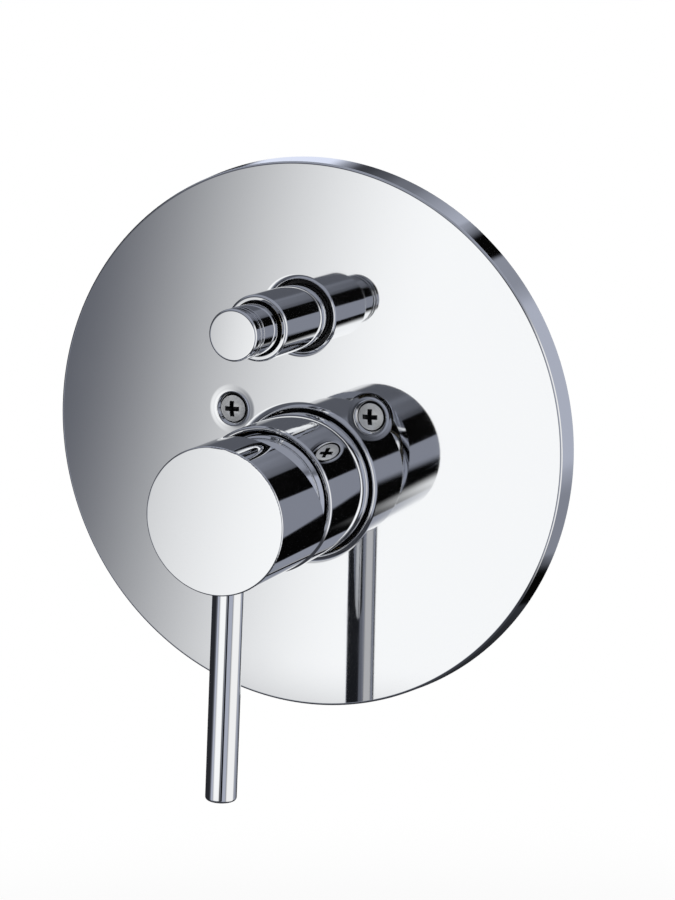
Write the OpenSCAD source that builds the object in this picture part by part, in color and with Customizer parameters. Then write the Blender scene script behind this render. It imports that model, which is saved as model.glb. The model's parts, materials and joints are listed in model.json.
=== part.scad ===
// Built-in single-lever shower control valve with a pull knob that sends the water to either outlet.
// Millimetres. Z is up, Y runs into the wall. The origin lies on the control axis, in the rear plane
// of the two fixing bars. A "reach" is a distance in front of that plane, towards the room (along -Y).

/* [Setting] */
// Depth of the fixing bars' rear plane behind the finished wall
set_in = 58; // [56:1:70]
// Height of the face plate's centre above the control axis
plate_rise = 15; // [10:0.5:20]
// Height of the diverter axis above the control axis
diverter_rise = 55.2; // [50:0.1:62]
// Turn of the lever about the control axis from hanging straight down, as it rests
lever_swing = 3; // [-20:0.5:20]

/* [Face plate] */
// Radius of the plate's front face
plate_r = 90; // [84:0.5:100]
// Thickness of the pressed sheet
plate_sheet = 1.2; // [0.8:0.1:1.6]
// Depth of the turned-back rim
plate_rim = 8.8; // [7.5:0.1:12]
// Widening of the rim towards the wall
rim_flare = 0.9; // [0:0.1:2]
// Rounding of the plate's front edge
plate_edge = 0.8; // [0.4:0.1:1.5]
// Gap between the rim and the wall
wall_gap = 0.2; // [0.1:0.1:1]
// Radius of the roll that leads from the front face into the collar round the control sleeve
collar_roll = 3; // [2:0.1:3.6]
// Radius of the roll that leads into the collar round the diverter sleeve
div_roll = 2; // [1.8:0.1:3]
// Depth of the collars behind the front face
collar_depth = 6; // [5.5:0.1:6.5]

/* [Gasket] */
// Width of the foam ring behind the rim
gasket_w = 6; // [4:0.5:10]
// Gap between the foam ring and the plate's rim
gasket_gap = 0.3; // [0.2:0.1:1.5]

/* [Plate screws] */
// Distance of each plate screw from the middle
screw_x = 24.8; // [23:0.1:30]
// Height of the plate screws above the control axis
screw_z = 23.4; // [22:0.1:28]
// Radius of the screw head
screw_head_r = 4.6; // [4:0.1:5]
// Height of the raised part of the head
screw_raise = 1.2; // [0.6:0.1:1.6]
// Height of the head's straight edge
screw_edge = 0.2; // [0.1:0.1:0.4]
// Radius of the screw's thread
screw_r = 2.4; // [2:0.1:2.6]
// Length of the screw below its head's edge
screw_l = 38; // [32:1:44]
// Length of the cross recess from end to end
recess_l = 4.9; // [4:0.1:6]
// Width of the cross recess
recess_w = 1.25; // [0.9:0.05:1.6]
// Depth of the cross recess below the top of the head
recess_depth = 2.3; // [1.5:0.1:2.6]
// Rounding where the plate dips to the screw
dimple_roll = 2; // [1.5:0.1:2.5]
// Width of the cone's flat edge round the screw head
dimple_rim = 0.4; // [0.2:0.1:0.8]

/* [Lever hub] */
// Radius of the hub
hub_r = 23.4; // [22.6:0.1:24.2]
// Hub face in front of the plate
hub_reach = 63; // [61:0.5:68]
// Rounding of the hub's front edge
hub_edge = 0.5; // [0.2:0.1:1]
// Wall of the hub's skirt
hub_wall = 2.2; // [1.8:0.1:2.6]
// Thickness of the hub's face
hub_face = 6; // [4:0.5:8]
// Angle of the cut that lets the hub tilt
cut_angle = 26; // [22:1:30]
// Cut plane in front of the plate where it crosses the axis
cut_reach = 33.8; // [33:0.1:36]
// Gap between the hub and the control sleeve
hub_gap = 0.6; // [0.5:0.1:1.2]
// Radius of the boss that takes the stem
boss_r = 7.5; // [6.8:0.1:7.8]
// Start of the boss in front of the plate
boss_reach = 37.5; // [37:0.1:39]
// Width of the block between the boss and the rod
block_w = 14.5; // [13:0.5:15]

/* [Lever rod] */
// Radius of the rod
rod_r = 5; // [4.2:0.1:5.2]
// Rod's end below the control axis
rod_l = 92; // [70:1:130]
// Rod's centre line in front of the plate at the control axis
rod_reach = 51.1; // [50:0.1:52.5]
// Lean of the rod away from the wall
rod_lean = 1.7; // [0:0.1:5]
// Rounding of the rod's end
rod_edge = 1; // [0.4:0.1:2]
// Radius of the rod's threaded end
rod_thread_r = 3; // [2.4:0.1:3.1]
// Depth to which the full rod enters the hub
rod_seat = 3.5; // [2.5:0.1:5]
// Length of the rod's threaded end
rod_thread_l = 8; // [6:0.5:10]

/* [Set screw] */
// Radius of the set screw
set_r = 2.45; // [2:0.05:2.5]
// Length of the set screw
set_l = 8; // [5:0.5:12]
// Set screw in front of the plate
set_reach = 42; // [41.5:0.1:43]
// Hexagon key size, across flats
set_key = 2.5; // [2:0.1:3]

/* [Control sleeve] */
// Outer radius of the sleeve
sleeve_r = 23.9; // [23.5:0.1:24.4]
// Inner radius of the sleeve
sleeve_bore = 22.4; // [22.3:0.05:22.6]
// Sleeve's front edge in front of the plate
sleeve_front = 29.1; // [28.5:0.1:29.2]
// Depth of the sleeve's shoulder behind the plate's face
sleeve_back = 3.4; // [3:0.1:4]
// Rounding of the sleeve's edges
sleeve_edge = 0.9; // [0.4:0.1:1]
// Outer radius of the neck inside the plate's collar
sleeve_neck_r = 23.1; // [23:0.05:23.3]
// Length of the neck behind the plate's face
sleeve_neck = 7; // [6.5:0.1:8]
// Gap between the sleeve and the plate's collar
sleeve_gap = 0.35; // [0.3:0.05:0.8]

/* [Dome cover] */
// Outer radius of the cover's skirt
dome_r = 21.3; // [21.1:0.05:21.6]
// Radius of the cover's opening
dome_open = 14.5; // [14.2:0.1:15]
// Skirt's top in front of the plate
dome_rim_reach = 27.8; // [27.4:0.1:28]
// Top of the cover in front of the plate
dome_top_reach = 32.4; // [32:0.1:32.8]
// Length of the cover's skirt
dome_skirt = 16; // [12:0.5:17]

/* [Cartridge] */
// Outer radius of the cartridge
cart_r = 17.4; // [17:0.1:17.6]
// Length of the cartridge's wide part
cart_l = 19; // [18.6:0.1:19.4]
// Wall of the cartridge's wide part
cart_wall = 1.4; // [1.1:0.1:1.6]
// Length of the cartridge's collar
cart_collar = 12.5; // [12:0.1:13]
// Outer radius of the cartridge's collar
cart_collar_r = 13.2; // [13:0.1:13.6]
// Radius of the rotor's barrel
rotor_r = 11.7; // [11.3:0.1:12]
// Thickness of the rotor's flange
rotor_flange = 1.5; // [1.2:0.1:1.6]
// Thickness of the cartridge's base
base_h = 3.9; // [3.6:0.1:4.1]
// Thickness of the fixed disc
fixed_h = 3.6; // [3.3:0.1:3.8]
// Thickness of the moving disc
moving_h = 3.95; // [3.7:0.05:4.1]
// Radius of the moving disc and its carrier
moving_r = 10.8; // [10.4:0.1:11]
// Thickness of the disc carrier
carrier_h = 4.3; // [4.1:0.1:4.5]
// Radius of the water ports
port_r = 3.6; // [3.2:0.1:3.8]
// Distance of the hot and cold ports from the middle
port_x = 8; // [7.6:0.1:8.4]
// Drop of the hot and cold ports below the axis
port_drop = 4; // [3.6:0.1:4.4]
// Height of the mixed port above the axis
mixed_rise = 9; // [8.7:0.1:9.4]
// Section radius of the base seals
base_seal_r = 0.9; // [0.8:0.05:1]
// Width across the square of the stem
stem_w = 7; // [6:0.1:7.2]
// Length of the square stem in front of the pin
stem_l = 31.5; // [28:0.5:33]
// Pin's distance in front of the cartridge's wide part
pin_reach = 6.8; // [6.4:0.1:7.2]
// Radius of the stem pin
pin_r = 1.5; // [1.2:0.1:1.8]
// Radius of the ball at the stem's inner end
ball_r = 2.6; // [2.3:0.1:2.7]
// Distance from the pin to the middle of the ball
ball_arm = 11.1; // [10.9:0.1:11.2]

/* [Cartridge nut] */
// Hexagon of the nut, across flats
nut_flats = 34; // [32:0.5:34.4]
// Height of the nut's hexagon
nut_hex_h = 3.3; // [2.5:0.1:3.5]
// Radius of the nut's thread
nut_r = 18.5; // [18.4:0.05:18.6]

/* [Valve body] */
// Radius of the body's head
head_r = 21; // [20.8:0.1:21.2]
// Radius of the threaded neck
neck_r = 19.9; // [19.8:0.05:20]
// Front of the neck in front of the plate
neck_reach = 21; // [20.6:0.1:21]
// Reach of the four pipe connections
pipe_reach = 34; // [33.5:0.1:35]
// Outer radius of the pipe connections
pipe_r = 14; // [12.5:0.5:15]
// Radius of the pipe thread, inside the crests
pipe_bore = 9.3; // [9:0.05:9.5]
// Depth of the pipe thread
pipe_depth = 14; // [12:0.5:15]
// Distance of the hot and cold ends from the middle
inlet_x = 45; // [42:0.5:52]
// Radius of the passages behind the pipe threads
passage_r = 4.3; // [3.8:0.1:4.6]
// Top of the upper outlet above the diverter axis
outlet_top = 28; // [26:0.5:34]
// Bottom of the lower outlet below the control axis
outlet_bottom = 49; // [48.5:0.5:56]
// Radius of the mixed-water channel
mixed_r = 5; // [4.5:0.1:5.2]
// Radius of the bath channel
bath_r = 4.5; // [4:0.1:4.8]

/* [Fixing bars] */
// Thickness of the two bars
bar_t = 4; // [3:0.5:5]
// Half the spacing of the fixing holes, across
lug_x = 40; // [38:0.5:48]
// Half the spacing of the fixing holes, upwards
lug_z = 26; // [24:0.5:30]
// Radius of the fixing holes
lug_hole_r = 3.25; // [2.5:0.05:3.5]
// Radius of the bars' round ends
lug_r = 8; // [7.5:0.5:10]
// Sideways place of the screws that hold the bars on the body
bar_screw_x = -6; // [-7:0.5:-5.5]
// Half the spacing of the two screws in each bar
bar_screw_z = 4.2; // [3.6:0.1:4.4]
// Radius of these screws
bar_screw_r = 1.5; // [1.2:0.1:1.6]
// Length of these screws
bar_screw_l = 11; // [8:0.5:11.5]
// Radius of the posts for the plate screws
post_r = 5.5; // [4.5:0.1:6]
// Front of the posts behind the plate's face
post_back = 26; // [20:0.5:28]

/* [Diverter sleeve] */
// Outer radius of the diverter sleeve
div_sleeve_r = 10.6; // [10.4:0.05:11]
// Inner radius of the diverter sleeve
div_bore = 9.3; // [9.2:0.05:9.4]
// Sleeve's front edge in front of the plate
div_front = 30.8; // [28:0.1:31.2]
// Depth of the sleeve's shoulder behind the plate's face
div_back = 3.4; // [3:0.1:4]
// Outer radius of the neck inside the plate's collar
div_neck_r = 10; // [9.9:0.05:10.2]
// Length of the neck behind the plate's face
div_neck = 6.5; // [6:0.1:8]
// Gap between the sleeve and the plate's collar
div_gap = 1; // [0.4:0.1:1.4]
// Gap between the knob and the lip in the sleeve's mouth
mouth_gap = 0.5; // [0.4:0.05:0.7]
// Length of that lip
mouth_l = 1.5; // [1:0.1:2.5]

/* [Diverter knob] */
// Radius of the knob
knob_r = 8.2; // [7.6:0.1:8.4]
// Knob's face in front of the plate
knob_reach = 47.4; // [46:0.1:52]
// Knob's rear edge in front of the plate
knob_back = 32; // [31.5:0.1:33]
// Doming of the knob's face
knob_dome = 0.35; // [0.2:0.05:1.5]
// Thickness of the knob's face disc
knob_disc = 2.3; // [1.8:0.1:3]
// Width of each grip groove
groove_w = 1.2; // [0.8:0.1:1.4]
// Depth of each grip groove
groove_depth = 0.8; // [0.4:0.1:1.2]
// Ridge between the grip grooves
groove_ridge = 0.9; // [0.6:0.1:1.2]
// Rounding of the knob's rear edge
knob_edge = 0.4; // [0.2:0.1:1]
// Travel of the knob when it is pulled
knob_travel = 9; // [6:0.5:9.5]

/* [Diverter works] */
// Radius of the spindle
spindle_r = 3; // [2.6:0.1:3.2]
// Radius of the bonnet's thread
bonnet_r = 10.95; // [10.8:0.05:11.1]
// Hexagon of the bonnet, across flats
bonnet_flats = 24; // [23:0.5:26]
// Height of the bonnet's hexagon
bonnet_hex_h = 5; // [4:0.1:5.2]
// Radius of the bonnet's front tube
bonnet_tube_r = 9; // [8.8:0.05:9.1]
// Length of the bonnet's front tube
bonnet_tube_l = 20; // [18:0.5:24]
// Length of the bonnet's thread
bonnet_thread = 10; // [8:0.5:10]
// Outer radius of the cage
cage_r = 10.45; // [10.2:0.05:10.5]
// Inner radius of the cage
cage_bore = 8; // [7.8:0.05:8.2]
// Radius of the openings in the two seats
seat_r = 5.5; // [5:0.1:6]
// Thickness of each seat
seat_t = 1.5; // [1.2:0.1:1.8]
// Radius of the piston's rubber rings
piston_r = 7.6; // [7:0.1:7.7]
// Thickness of the piston over its rubber rings
piston_h = 4.3; // [4:0.1:4.6]

/* [Fits] */
// Radial play of turning and sliding parts
run_gap = 0.05; // [0.02:0.01:0.1]
// Gap between parts that seat on each other
seat_gap = 0.05; // [0.02:0.01:0.1]
// Gap between parts that only lie close together
free_gap = 0.3; // [0.2:0.05:0.4]

/* [Hidden] */
$fn = 72;
// Free length at the end of a hole behind what is screwed or pushed into it
hole_spare = 1;
// Overlap that keeps a cut clean, and a length past everything
cut = 0.5;
far = 200;

// Reaches that several pieces share
plate_h = set_in + wall_gap + plate_rim;
plate_back_h = plate_h - plate_sheet;
collar_end_h = plate_h - collar_depth;
collar_r = sleeve_r + sleeve_gap;
div_collar_r = div_sleeve_r + div_gap;
// Floor of the cartridge chamber, a little behind the plate, and the slack under the cartridge
chamber_sink = 5.4;
base_lift = 0.4;
chamber_h = plate_h - chamber_sink;
base_h0 = chamber_h + base_lift;
base_h1 = base_h0 + base_h;
fixed_h0 = base_h1 + seat_gap;
fixed_h1 = fixed_h0 + fixed_h;
moving_h0 = fixed_h1 + run_gap;
moving_h1 = moving_h0 + moving_h;
carrier_h0 = moving_h1 + seat_gap;
carrier_h1 = carrier_h0 + carrier_h;
rotor_h0 = carrier_h1 + run_gap * 2;
rotor_h1 = rotor_h0 + rotor_flange;
housing_h0 = base_h0;
shoulder_h = housing_h0 + cart_l;
housing_h1 = shoulder_h + cart_collar;
pin_h = shoulder_h + pin_reach;
ball_h = pin_h - ball_arm;
neck_h = plate_h + neck_reach;
hub_h = plate_h + hub_reach;
hub_back_h = plate_h + sleeve_front + hub_gap;
boss_h = plate_h + boss_reach;
rod_h = plate_h + rod_reach;
stem_end_h = pin_h + stem_l;

// The control sleeve's ring lies in a groove of the head
ring_h = plate_h + 0.5;
ring_floor_r = head_r - 1.2;
ring_section = (sleeve_bore - ring_floor_r) / 2 - seat_gap;
ring_groove_w = 3.2;

// The body's head, and the step from it to its thinner neck
head_h0 = 22;
head_h1 = ring_h + 4.5;

// Diverter, from the back of its chamber to the knob
div_floor_h = 11;
cage_h0 = div_floor_h + seat_gap;
rear_seat_h = 18;
piston_h0 = rear_seat_h + seat_gap;
piston_h1 = piston_h0 + piston_h;
front_seat_h = piston_h1 + knob_travel + seat_gap;
bonnet_sink = 13;
bonnet_face_h = plate_h - bonnet_sink;
bonnet_h0 = bonnet_face_h - bonnet_thread;
cage_h1 = bonnet_h0 - seat_gap;
washer_t = 0.9;
bonnet_hex_h0 = bonnet_face_h + seat_gap * 2 + washer_t;
bonnet_tube_h0 = bonnet_hex_h0 + bonnet_hex_h;
bonnet_tube_h1 = bonnet_tube_h0 + bonnet_tube_l;
knob_h0 = plate_h + knob_back;
knob_h1 = plate_h + knob_reach;
chamber_r = 13.9;
chamber_back_h = 5;

// Channels in the body: mixed water up to the diverter, bath water down to the lower outlet
outlet_pass_h = front_seat_h + seat_t + 5.1;
outlet_pass_r = 3.4;
outlet_pass_x = 3.2;
channel_wall = 4;
mixed_h = 25;
mixed_x = -5;
bath_x = screw_x - post_r - free_gap - channel_wall - bath_r;
bath_end_x = 19;
bath_end_z = -lug_z - lug_r;
cross_z = -24;
bath_h = bar_t + cut + channel_wall + bath_r;
drill_past = 1;
// Each passage lies this far off the axis of the pipe thread that it starts from
passage_off = 4.8;
passage_end_x = 6;
web_w = 20;
web_h = 26;
plug_l = 5;
plug_sink = 0.5;
plug_key = 5;
plug_key_l = 3;

// Section radii of the small rings, and the length of the piece of spindle each one seals
spindle_ring = 0.75;
div_ring = 0.9;
cage_ring = 0.8;
ring_play = 0.1;

// Shared shapes

// A profile of radius and reach, turned about an axis that runs into the wall
module turned(x = 0, z = 0) {
  translate([x, 0, z]) rotate([90, 0, 0]) rotate_extrude() children();
}

// A round bar along the reach, from h0 to h1
module bar(r, h0, h1, x = 0, z = 0) {
  translate([x, -h0, z]) rotate([90, 0, 0]) cylinder(r = r, h = h1 - h0);
}

// A hexagonal bar along the reach, by its size across flats
module hex_bar(flats, h0, h1, x = 0, z = 0) {
  translate([x, -h0, z]) rotate([90, 0, 0]) cylinder(d = flats / cos(30), h = h1 - h0, $fn = 6);
}

// A box given by its width, its reaches and its heights
module block(w, h0, h1, z0, z1) {
  translate([-w / 2, -h1, z0]) cube([w, h1 - h0, z1 - z0]);
}

// What a rounded corner leaves out; dx and dy point from the corner into the material
module corner(x, y, dx, dy, r) {
  difference() {
    translate([dx > 0 ? x - cut : x - r, dy > 0 ? y - cut : y - r]) square(r + cut);
    translate([x + dx * r, y + dy * r]) circle(r);
  }
}

// A rubber ring of the given section, at a radius and a reach
module o_ring(radius, section, h, x = 0, z = 0) {
  turned(x, z) translate([radius, h]) circle(section, $fn = 32);
}

// A ring with a square section
module washer(r0, r1, h0, h1, x = 0, z = 0) {
  turned(x, z) translate([r0, h0]) square([r1 - r0, h1 - h0]);
}

// What follows the lever as it is turned about the control axis
module swung() {
  rotate([0, lever_swing, 0]) children();
}

// Places the plate's two screws
module at_screws() {
  for (side = [-1, 1]) translate([side * screw_x, 0, screw_z]) children();
}

// Face plate

// Depth at which the rolled edge of a dimple turns into its cone
dimple_depth = dimple_roll * (1 - cos(45));
// Radius at which that happens, leaving a rim of cone round the screw head
dimple_cone_r = screw_head_r + dimple_rim;
dimple_r = dimple_cone_r + dimple_roll * sin(45);
screw_hole_r = screw_r + free_gap;
// Depth of the screw head's edge, where the cone is as wide as the head
screw_sink = dimple_depth + dimple_rim - seat_gap;
dimple_floor = dimple_depth + dimple_cone_r - screw_hole_r;
// Straight edge of the hole below the cone
dimple_lip = 0.6;

module plate_cup_2d() {
  rim_r = plate_r + rim_flare;
  rim_h = set_in + wall_gap;
  difference() {
    union() {
      polygon([[0, rim_h], [rim_r, rim_h], [plate_r, plate_h - plate_edge],
               [plate_r - plate_edge, plate_h], [0, plate_h]]);
      translate([plate_r - plate_edge, plate_h - plate_edge]) circle(plate_edge, $fn = 32);
    }
    polygon([[-cut, rim_h - cut], [rim_r - plate_sheet + cut * rim_flare / plate_rim, rim_h - cut],
             [plate_r - plate_sheet, plate_back_h - plate_edge],
             [plate_r - plate_sheet - plate_edge, plate_back_h], [-cut, plate_back_h]]);
  }
}

// The rolled edge and collar round a sleeve
module plate_collar_2d(r, roll) {
  roll_r = r + roll;
  roll_h = plate_h - roll;
  difference() {
    union() {
      translate([r, collar_end_h]) square([roll, roll_h - collar_end_h]);
      intersection() {
        translate([roll_r, roll_h]) circle(roll);
        translate([r - cut, roll_h - cut]) square(roll + cut);
      }
      translate([roll_r - cut / 2, plate_back_h]) square([cut, plate_sheet]);
    }
    translate([roll_r, roll_h]) circle(roll - plate_sheet);
    translate([r + plate_sheet, collar_end_h - cut]) square([roll, roll_h - collar_end_h + cut]);
  }
}

// The pressed cone that takes a screw head, with reach 0 at the plate's face
module plate_dimple_2d() {
  difference() {
    polygon([[screw_hole_r, 0], [dimple_r + cut, 0], [dimple_r + cut, -plate_sheet],
             [dimple_cone_r + plate_sheet, -plate_sheet - dimple_depth],
             [screw_hole_r + plate_sheet + dimple_lip, -dimple_floor - dimple_lip],
             [screw_hole_r, -dimple_floor - dimple_lip]]);
    difference() {
      polygon([[0, cut], [dimple_r, cut], [dimple_r, 0], [dimple_cone_r, -dimple_depth],
               [screw_hole_r, -dimple_floor], [0, -dimple_floor]]);
      translate([dimple_r, -dimple_roll]) circle(dimple_roll);
    }
  }
}

module face_plate() color("gainsboro") {
  difference() {
    turned(0, plate_rise) plate_cup_2d();
    bar(collar_r + collar_roll, collar_end_h, plate_h + cut);
    bar(div_collar_r + div_roll, collar_end_h, plate_h + cut, 0, diverter_rise);
    at_screws() bar(dimple_r + cut / 2, collar_end_h, plate_h + cut);
  }
  turned() plate_collar_2d(collar_r, collar_roll);
  turned(0, diverter_rise) plate_collar_2d(div_collar_r, div_roll);
  at_screws() turned() translate([0, plate_h]) plate_dimple_2d();
}

module plate_gasket() color("dimgray") {
  gasket_r = plate_r - plate_sheet - plate_edge - gasket_gap;
  washer(gasket_r - gasket_w, gasket_r, set_in, plate_back_h - seat_gap, 0, plate_rise);
}

// Bevel at the tip of a plate screw
tip_bevel = 0.6;

// A raised countersunk head over a threaded shank, with a tapered cross recess
module plate_screw() {
  tip_h = plate_h - screw_sink - screw_l;
  edge_h = plate_h - screw_sink;
  top_h = edge_h + screw_edge + screw_raise;
  cap_r = (screw_head_r * screw_head_r + screw_raise * screw_raise) / (2 * screw_raise);
  difference() {
    union() {
      turned() polygon([[0, tip_h], [screw_r - tip_bevel, tip_h], [screw_r, tip_h + tip_bevel],
                        [screw_r, edge_h - screw_head_r + screw_r], [screw_head_r, edge_h],
                        [screw_head_r, edge_h + screw_edge], [0, edge_h + screw_edge]]);
      turned() intersection() {
        translate([0, top_h - cap_r]) circle(cap_r, $fn = 144);
        translate([0, edge_h + screw_edge / 2]) square([screw_head_r, far]);
      }
    }
    intersection() {
      union() {
        block(recess_w, top_h - recess_depth, top_h + cut, -recess_l / 2, recess_l / 2);
        block(recess_l, top_h - recess_depth, top_h + cut, -recess_w / 2, recess_w / 2);
      }
      turned() polygon([[0, top_h - recess_depth], [recess_w / 2, top_h - recess_depth],
                        [recess_l / 2, top_h], [recess_l / 2, top_h + cut], [0, top_h + cut]]);
    }
  }
}

module plate_screws() color("silver") {
  at_screws() plate_screw();
}

// Valve body

module body_solids() {
  bar(head_r, head_h0, head_h1);
  bar(neck_r, head_h1 - cut, neck_h);
  // Pipe connections
  translate([-inlet_x, -pipe_reach, 0]) rotate([0, 90, 0]) cylinder(r = pipe_r, h = 2 * inlet_x);
  translate([0, -pipe_reach, -outlet_bottom]) cylinder(r = pipe_r, h = outlet_bottom);
  translate([0, -pipe_reach, diverter_rise]) cylinder(r = pipe_r, h = outlet_top);
  // Channels and the web that joins them
  translate([mixed_x, -mixed_h, 0]) cylinder(r = mixed_r + channel_wall, h = diverter_rise);
  translate([bath_x, -bath_h, bath_end_z])
    cylinder(r = bath_r + channel_wall, h = diverter_rise - bath_end_z);
  bar(bath_r + channel_wall, bath_h, pipe_reach, 0, cross_z);
  translate([0, -bath_h, cross_z]) rotate([0, 90, 0]) cylinder(r = bath_r + channel_wall, h = bath_end_x);
  block(web_w, bar_t + seat_gap, web_h, bath_end_z, diverter_rise);
  // Diverter chamber
  bar(chamber_r, chamber_back_h, bonnet_face_h, 0, diverter_rise);
}

module body_bores() {
  // Cartridge chamber, its thread and the two locating holes
  bar(cart_r + run_gap * 2, chamber_h, neck_h + cut);
  bar(nut_r + seat_gap, shoulder_h - seat_gap, neck_h + cut);
  for (side = [-1, 1]) bar(pip_r + seat_gap, chamber_h - pip_l, chamber_h + cut, side * pip_x, pip_z);
  washer(ring_floor_r, head_r + cut, ring_h - ring_groove_w / 2, ring_h + ring_groove_w / 2);
  // Hot and cold ways
  for (side = [-1, 1]) {
    translate([side * (inlet_x + cut), -pipe_reach, 0]) rotate([0, -side * 90, 0]) {
      cylinder(r = pipe_bore, h = pipe_depth + cut);
      translate([0, -passage_off, cut]) cylinder(r = passage_r, h = inlet_x - passage_end_x);
    }
    bar(port_r, pipe_reach + cut, chamber_h + cut, side * port_x, -port_drop);
  }
  // Mixed water, up to the diverter
  bar(port_r, mixed_h - mixed_r, chamber_h + cut, 0, mixed_rise);
  translate([mixed_x, -mixed_h, mixed_rise]) cylinder(r = mixed_r, h = diverter_rise - mixed_rise);
  // Diverter chamber
  bar(bonnet_r + seat_gap, bonnet_h0 - free_gap, bonnet_face_h + cut, 0, diverter_rise);
  bar(cage_r + seat_gap, div_floor_h, bonnet_h0, 0, diverter_rise);
  // Upper outlet
  translate([0, -pipe_reach, diverter_rise + outlet_top - pipe_depth]) cylinder(r = pipe_bore, h = far);
  for (side = [-1, 1]) translate([side * outlet_pass_x, -outlet_pass_h, diverter_rise])
    cylinder(r = outlet_pass_r, h = outlet_top - pipe_depth + cut);
  // Bath channel down to the lower outlet, with its two plugged ends
  translate([bath_x, -bath_h, bath_end_z - cut]) cylinder(r = bath_r, h = diverter_rise - bath_end_z);
  translate([0, -bath_h, cross_z]) rotate([0, 90, 0]) cylinder(r = bath_r, h = far);
  bar(bath_r, bath_h, pipe_reach - passage_off, 0, cross_z);
  translate([0, -pipe_reach, -outlet_bottom - cut]) cylinder(r = pipe_bore, h = pipe_depth + cut);
  translate([0, passage_off - pipe_reach, -outlet_bottom])
    cylinder(r = passage_r, h = outlet_bottom + cross_z + bath_r + drill_past);
  at_bar_screws() bar(bar_screw_r + seat_gap, 0, bar_screw_l + hole_spare);
}

module valve_body() color("goldenrod") {
  difference() {
    body_solids();
    body_bores();
  }
}

// Fixing bars: two flat bars across the back of the body, with two holes each

// Radius and depth of the bar screws' countersunk heads, and their key hole
bar_head_r = 2 * bar_screw_r;
bar_head_h = bar_head_r - bar_screw_r;
bar_key = 2;
bar_key_l = 1.2;
// Radius of the spigots that hold the posts in the upper bar
spigot_r = 3;

module at_bar_screws() {
  for (up = [-1, 1], side = [-1, 1]) translate([bar_screw_x, 0, up * lug_z + side * bar_screw_z]) children();
}

module fixing_bars() color("silver") {
  for (up = [-1, 1]) difference() {
    union() {
      block(2 * lug_x, 0, bar_t, up * lug_z - lug_r, up * lug_z + lug_r);
      for (side = [-1, 1]) bar(lug_r, 0, bar_t, side * lug_x, up * lug_z);
    }
    for (side = [-1, 1]) bar(lug_hole_r, -cut, bar_t + cut, side * lug_x, up * lug_z);
    at_bar_screws() {
      bar(bar_screw_r + seat_gap, -cut, bar_t + cut);
      turned() polygon([[0, -cut], [bar_head_r + seat_gap, -cut], [bar_head_r + seat_gap, seat_gap],
                        [bar_screw_r + seat_gap, bar_head_h + seat_gap], [0, bar_head_h + seat_gap]]);
    }
    if (up > 0) at_screws() bar(spigot_r + seat_gap, -cut, bar_t + cut);
  }
}

module bar_screws() color("gray") {
  at_bar_screws() difference() {
    turned() polygon([[0, 0], [bar_head_r, 0], [bar_screw_r, bar_head_h], [bar_screw_r, bar_screw_l],
                      [0, bar_screw_l]]);
    hex_bar(bar_key, -cut, bar_key_l);
  }
}

// The threaded posts that the plate's screws go into
module plate_posts() color("darkgoldenrod") {
  at_screws() difference() {
    union() {
      bar(post_r, bar_t + seat_gap, plate_h - post_back);
      bar(spigot_r, 0, bar_t + cut);
    }
    bar(screw_r + seat_gap, bar_t + hole_spare, plate_h);
  }
}

// Places the two screw plugs that close the drilled ends of the bath channel
module at_plugs() {
  translate([bath_end_x, -bath_h, cross_z]) rotate([0, 90, 0]) children();
  translate([bath_x, -bath_h, bath_end_z]) rotate([180, 0, 0]) children();
}

module channel_plugs() color("darkgoldenrod") {
  at_plugs() translate([0, 0, -plug_sink - plug_l]) difference() {
    cylinder(r = bath_r - seat_gap, h = plug_l);
    translate([0, 0, plug_l - plug_key_l]) cylinder(d = plug_key / cos(30), h = far, $fn = 6);
  }
}

// Cartridge

// The two pips that locate the base in the body
pip_r = 1.4;
pip_l = 2;
pip_x = 11.5;
pip_z = 8;
inner_r = cart_r - cart_wall;
// The groove of a port's seal and the ledge between the two
seal_ledge = 0.2;
seal_groove = 1.5;
seal_radius = port_r + base_seal_r + seal_ledge;
// How much smaller the ports are in the fixed disc
disc_port_step = 0.2;
// The socket of the ball and the slot of the stem
socket_r = ball_r + run_gap * 3;
slot_w = stem_w + run_gap * 4;
slot_z = 7.2;

// Places the three water ports on the cartridge axis
module at_ports() {
  for (side = [-1, 1]) translate([side * port_x, 0, -port_drop]) children();
  translate([0, 0, mixed_rise]) children();
}

module cartridge_housing() color("whitesmoke") {
  difference() {
    union() {
      bar(cart_r, housing_h0, shoulder_h);
      bar(cart_collar_r, shoulder_h, housing_h1);
    }
    bar(inner_r, housing_h0 - cut, rotor_h1 + run_gap * 2);
    bar(rotor_r + run_gap, housing_h0, housing_h1 + cut);
  }
}

module cartridge_base() color("lightgray") {
  difference() {
    union() {
      bar(inner_r - seat_gap, base_h0, base_h1);
      for (side = [-1, 1]) bar(pip_r, chamber_h - pip_l + free_gap, base_h0 + cut, side * pip_x, pip_z);
    }
    at_ports() bar(port_r, base_h0 - cut, base_h1 + cut);
    at_ports() washer(seal_radius - base_seal_r - seat_gap, seal_radius + base_seal_r + seat_gap,
                      base_h0 - cut, base_h0 + seal_groove);
  }
}

module base_seals() color("black") {
  at_ports() o_ring(seal_radius, base_seal_r, base_h0 + seal_groove - base_seal_r - seat_gap);
}

module fixed_disc() color("white") {
  difference() {
    bar(inner_r - free_gap, fixed_h0, fixed_h1);
    at_ports() bar(port_r - disc_port_step, fixed_h0 - cut, fixed_h1 + cut);
  }
}

// Centre of the moving disc above the axis while the valve is shut
moving_z = 1.5;
// The tabs that lock the carrier to the disc
tab_w = 4;
tab_l = 2.4;
tab_h = 1.5;
// The pocket that joins the ports: two round cuts, by radius and height
pocket_r = 6;
pocket_z = 3.2;
pocket_top_r = 4.5;
pocket_top_z = 7;
pocket_depth = 2;

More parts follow.
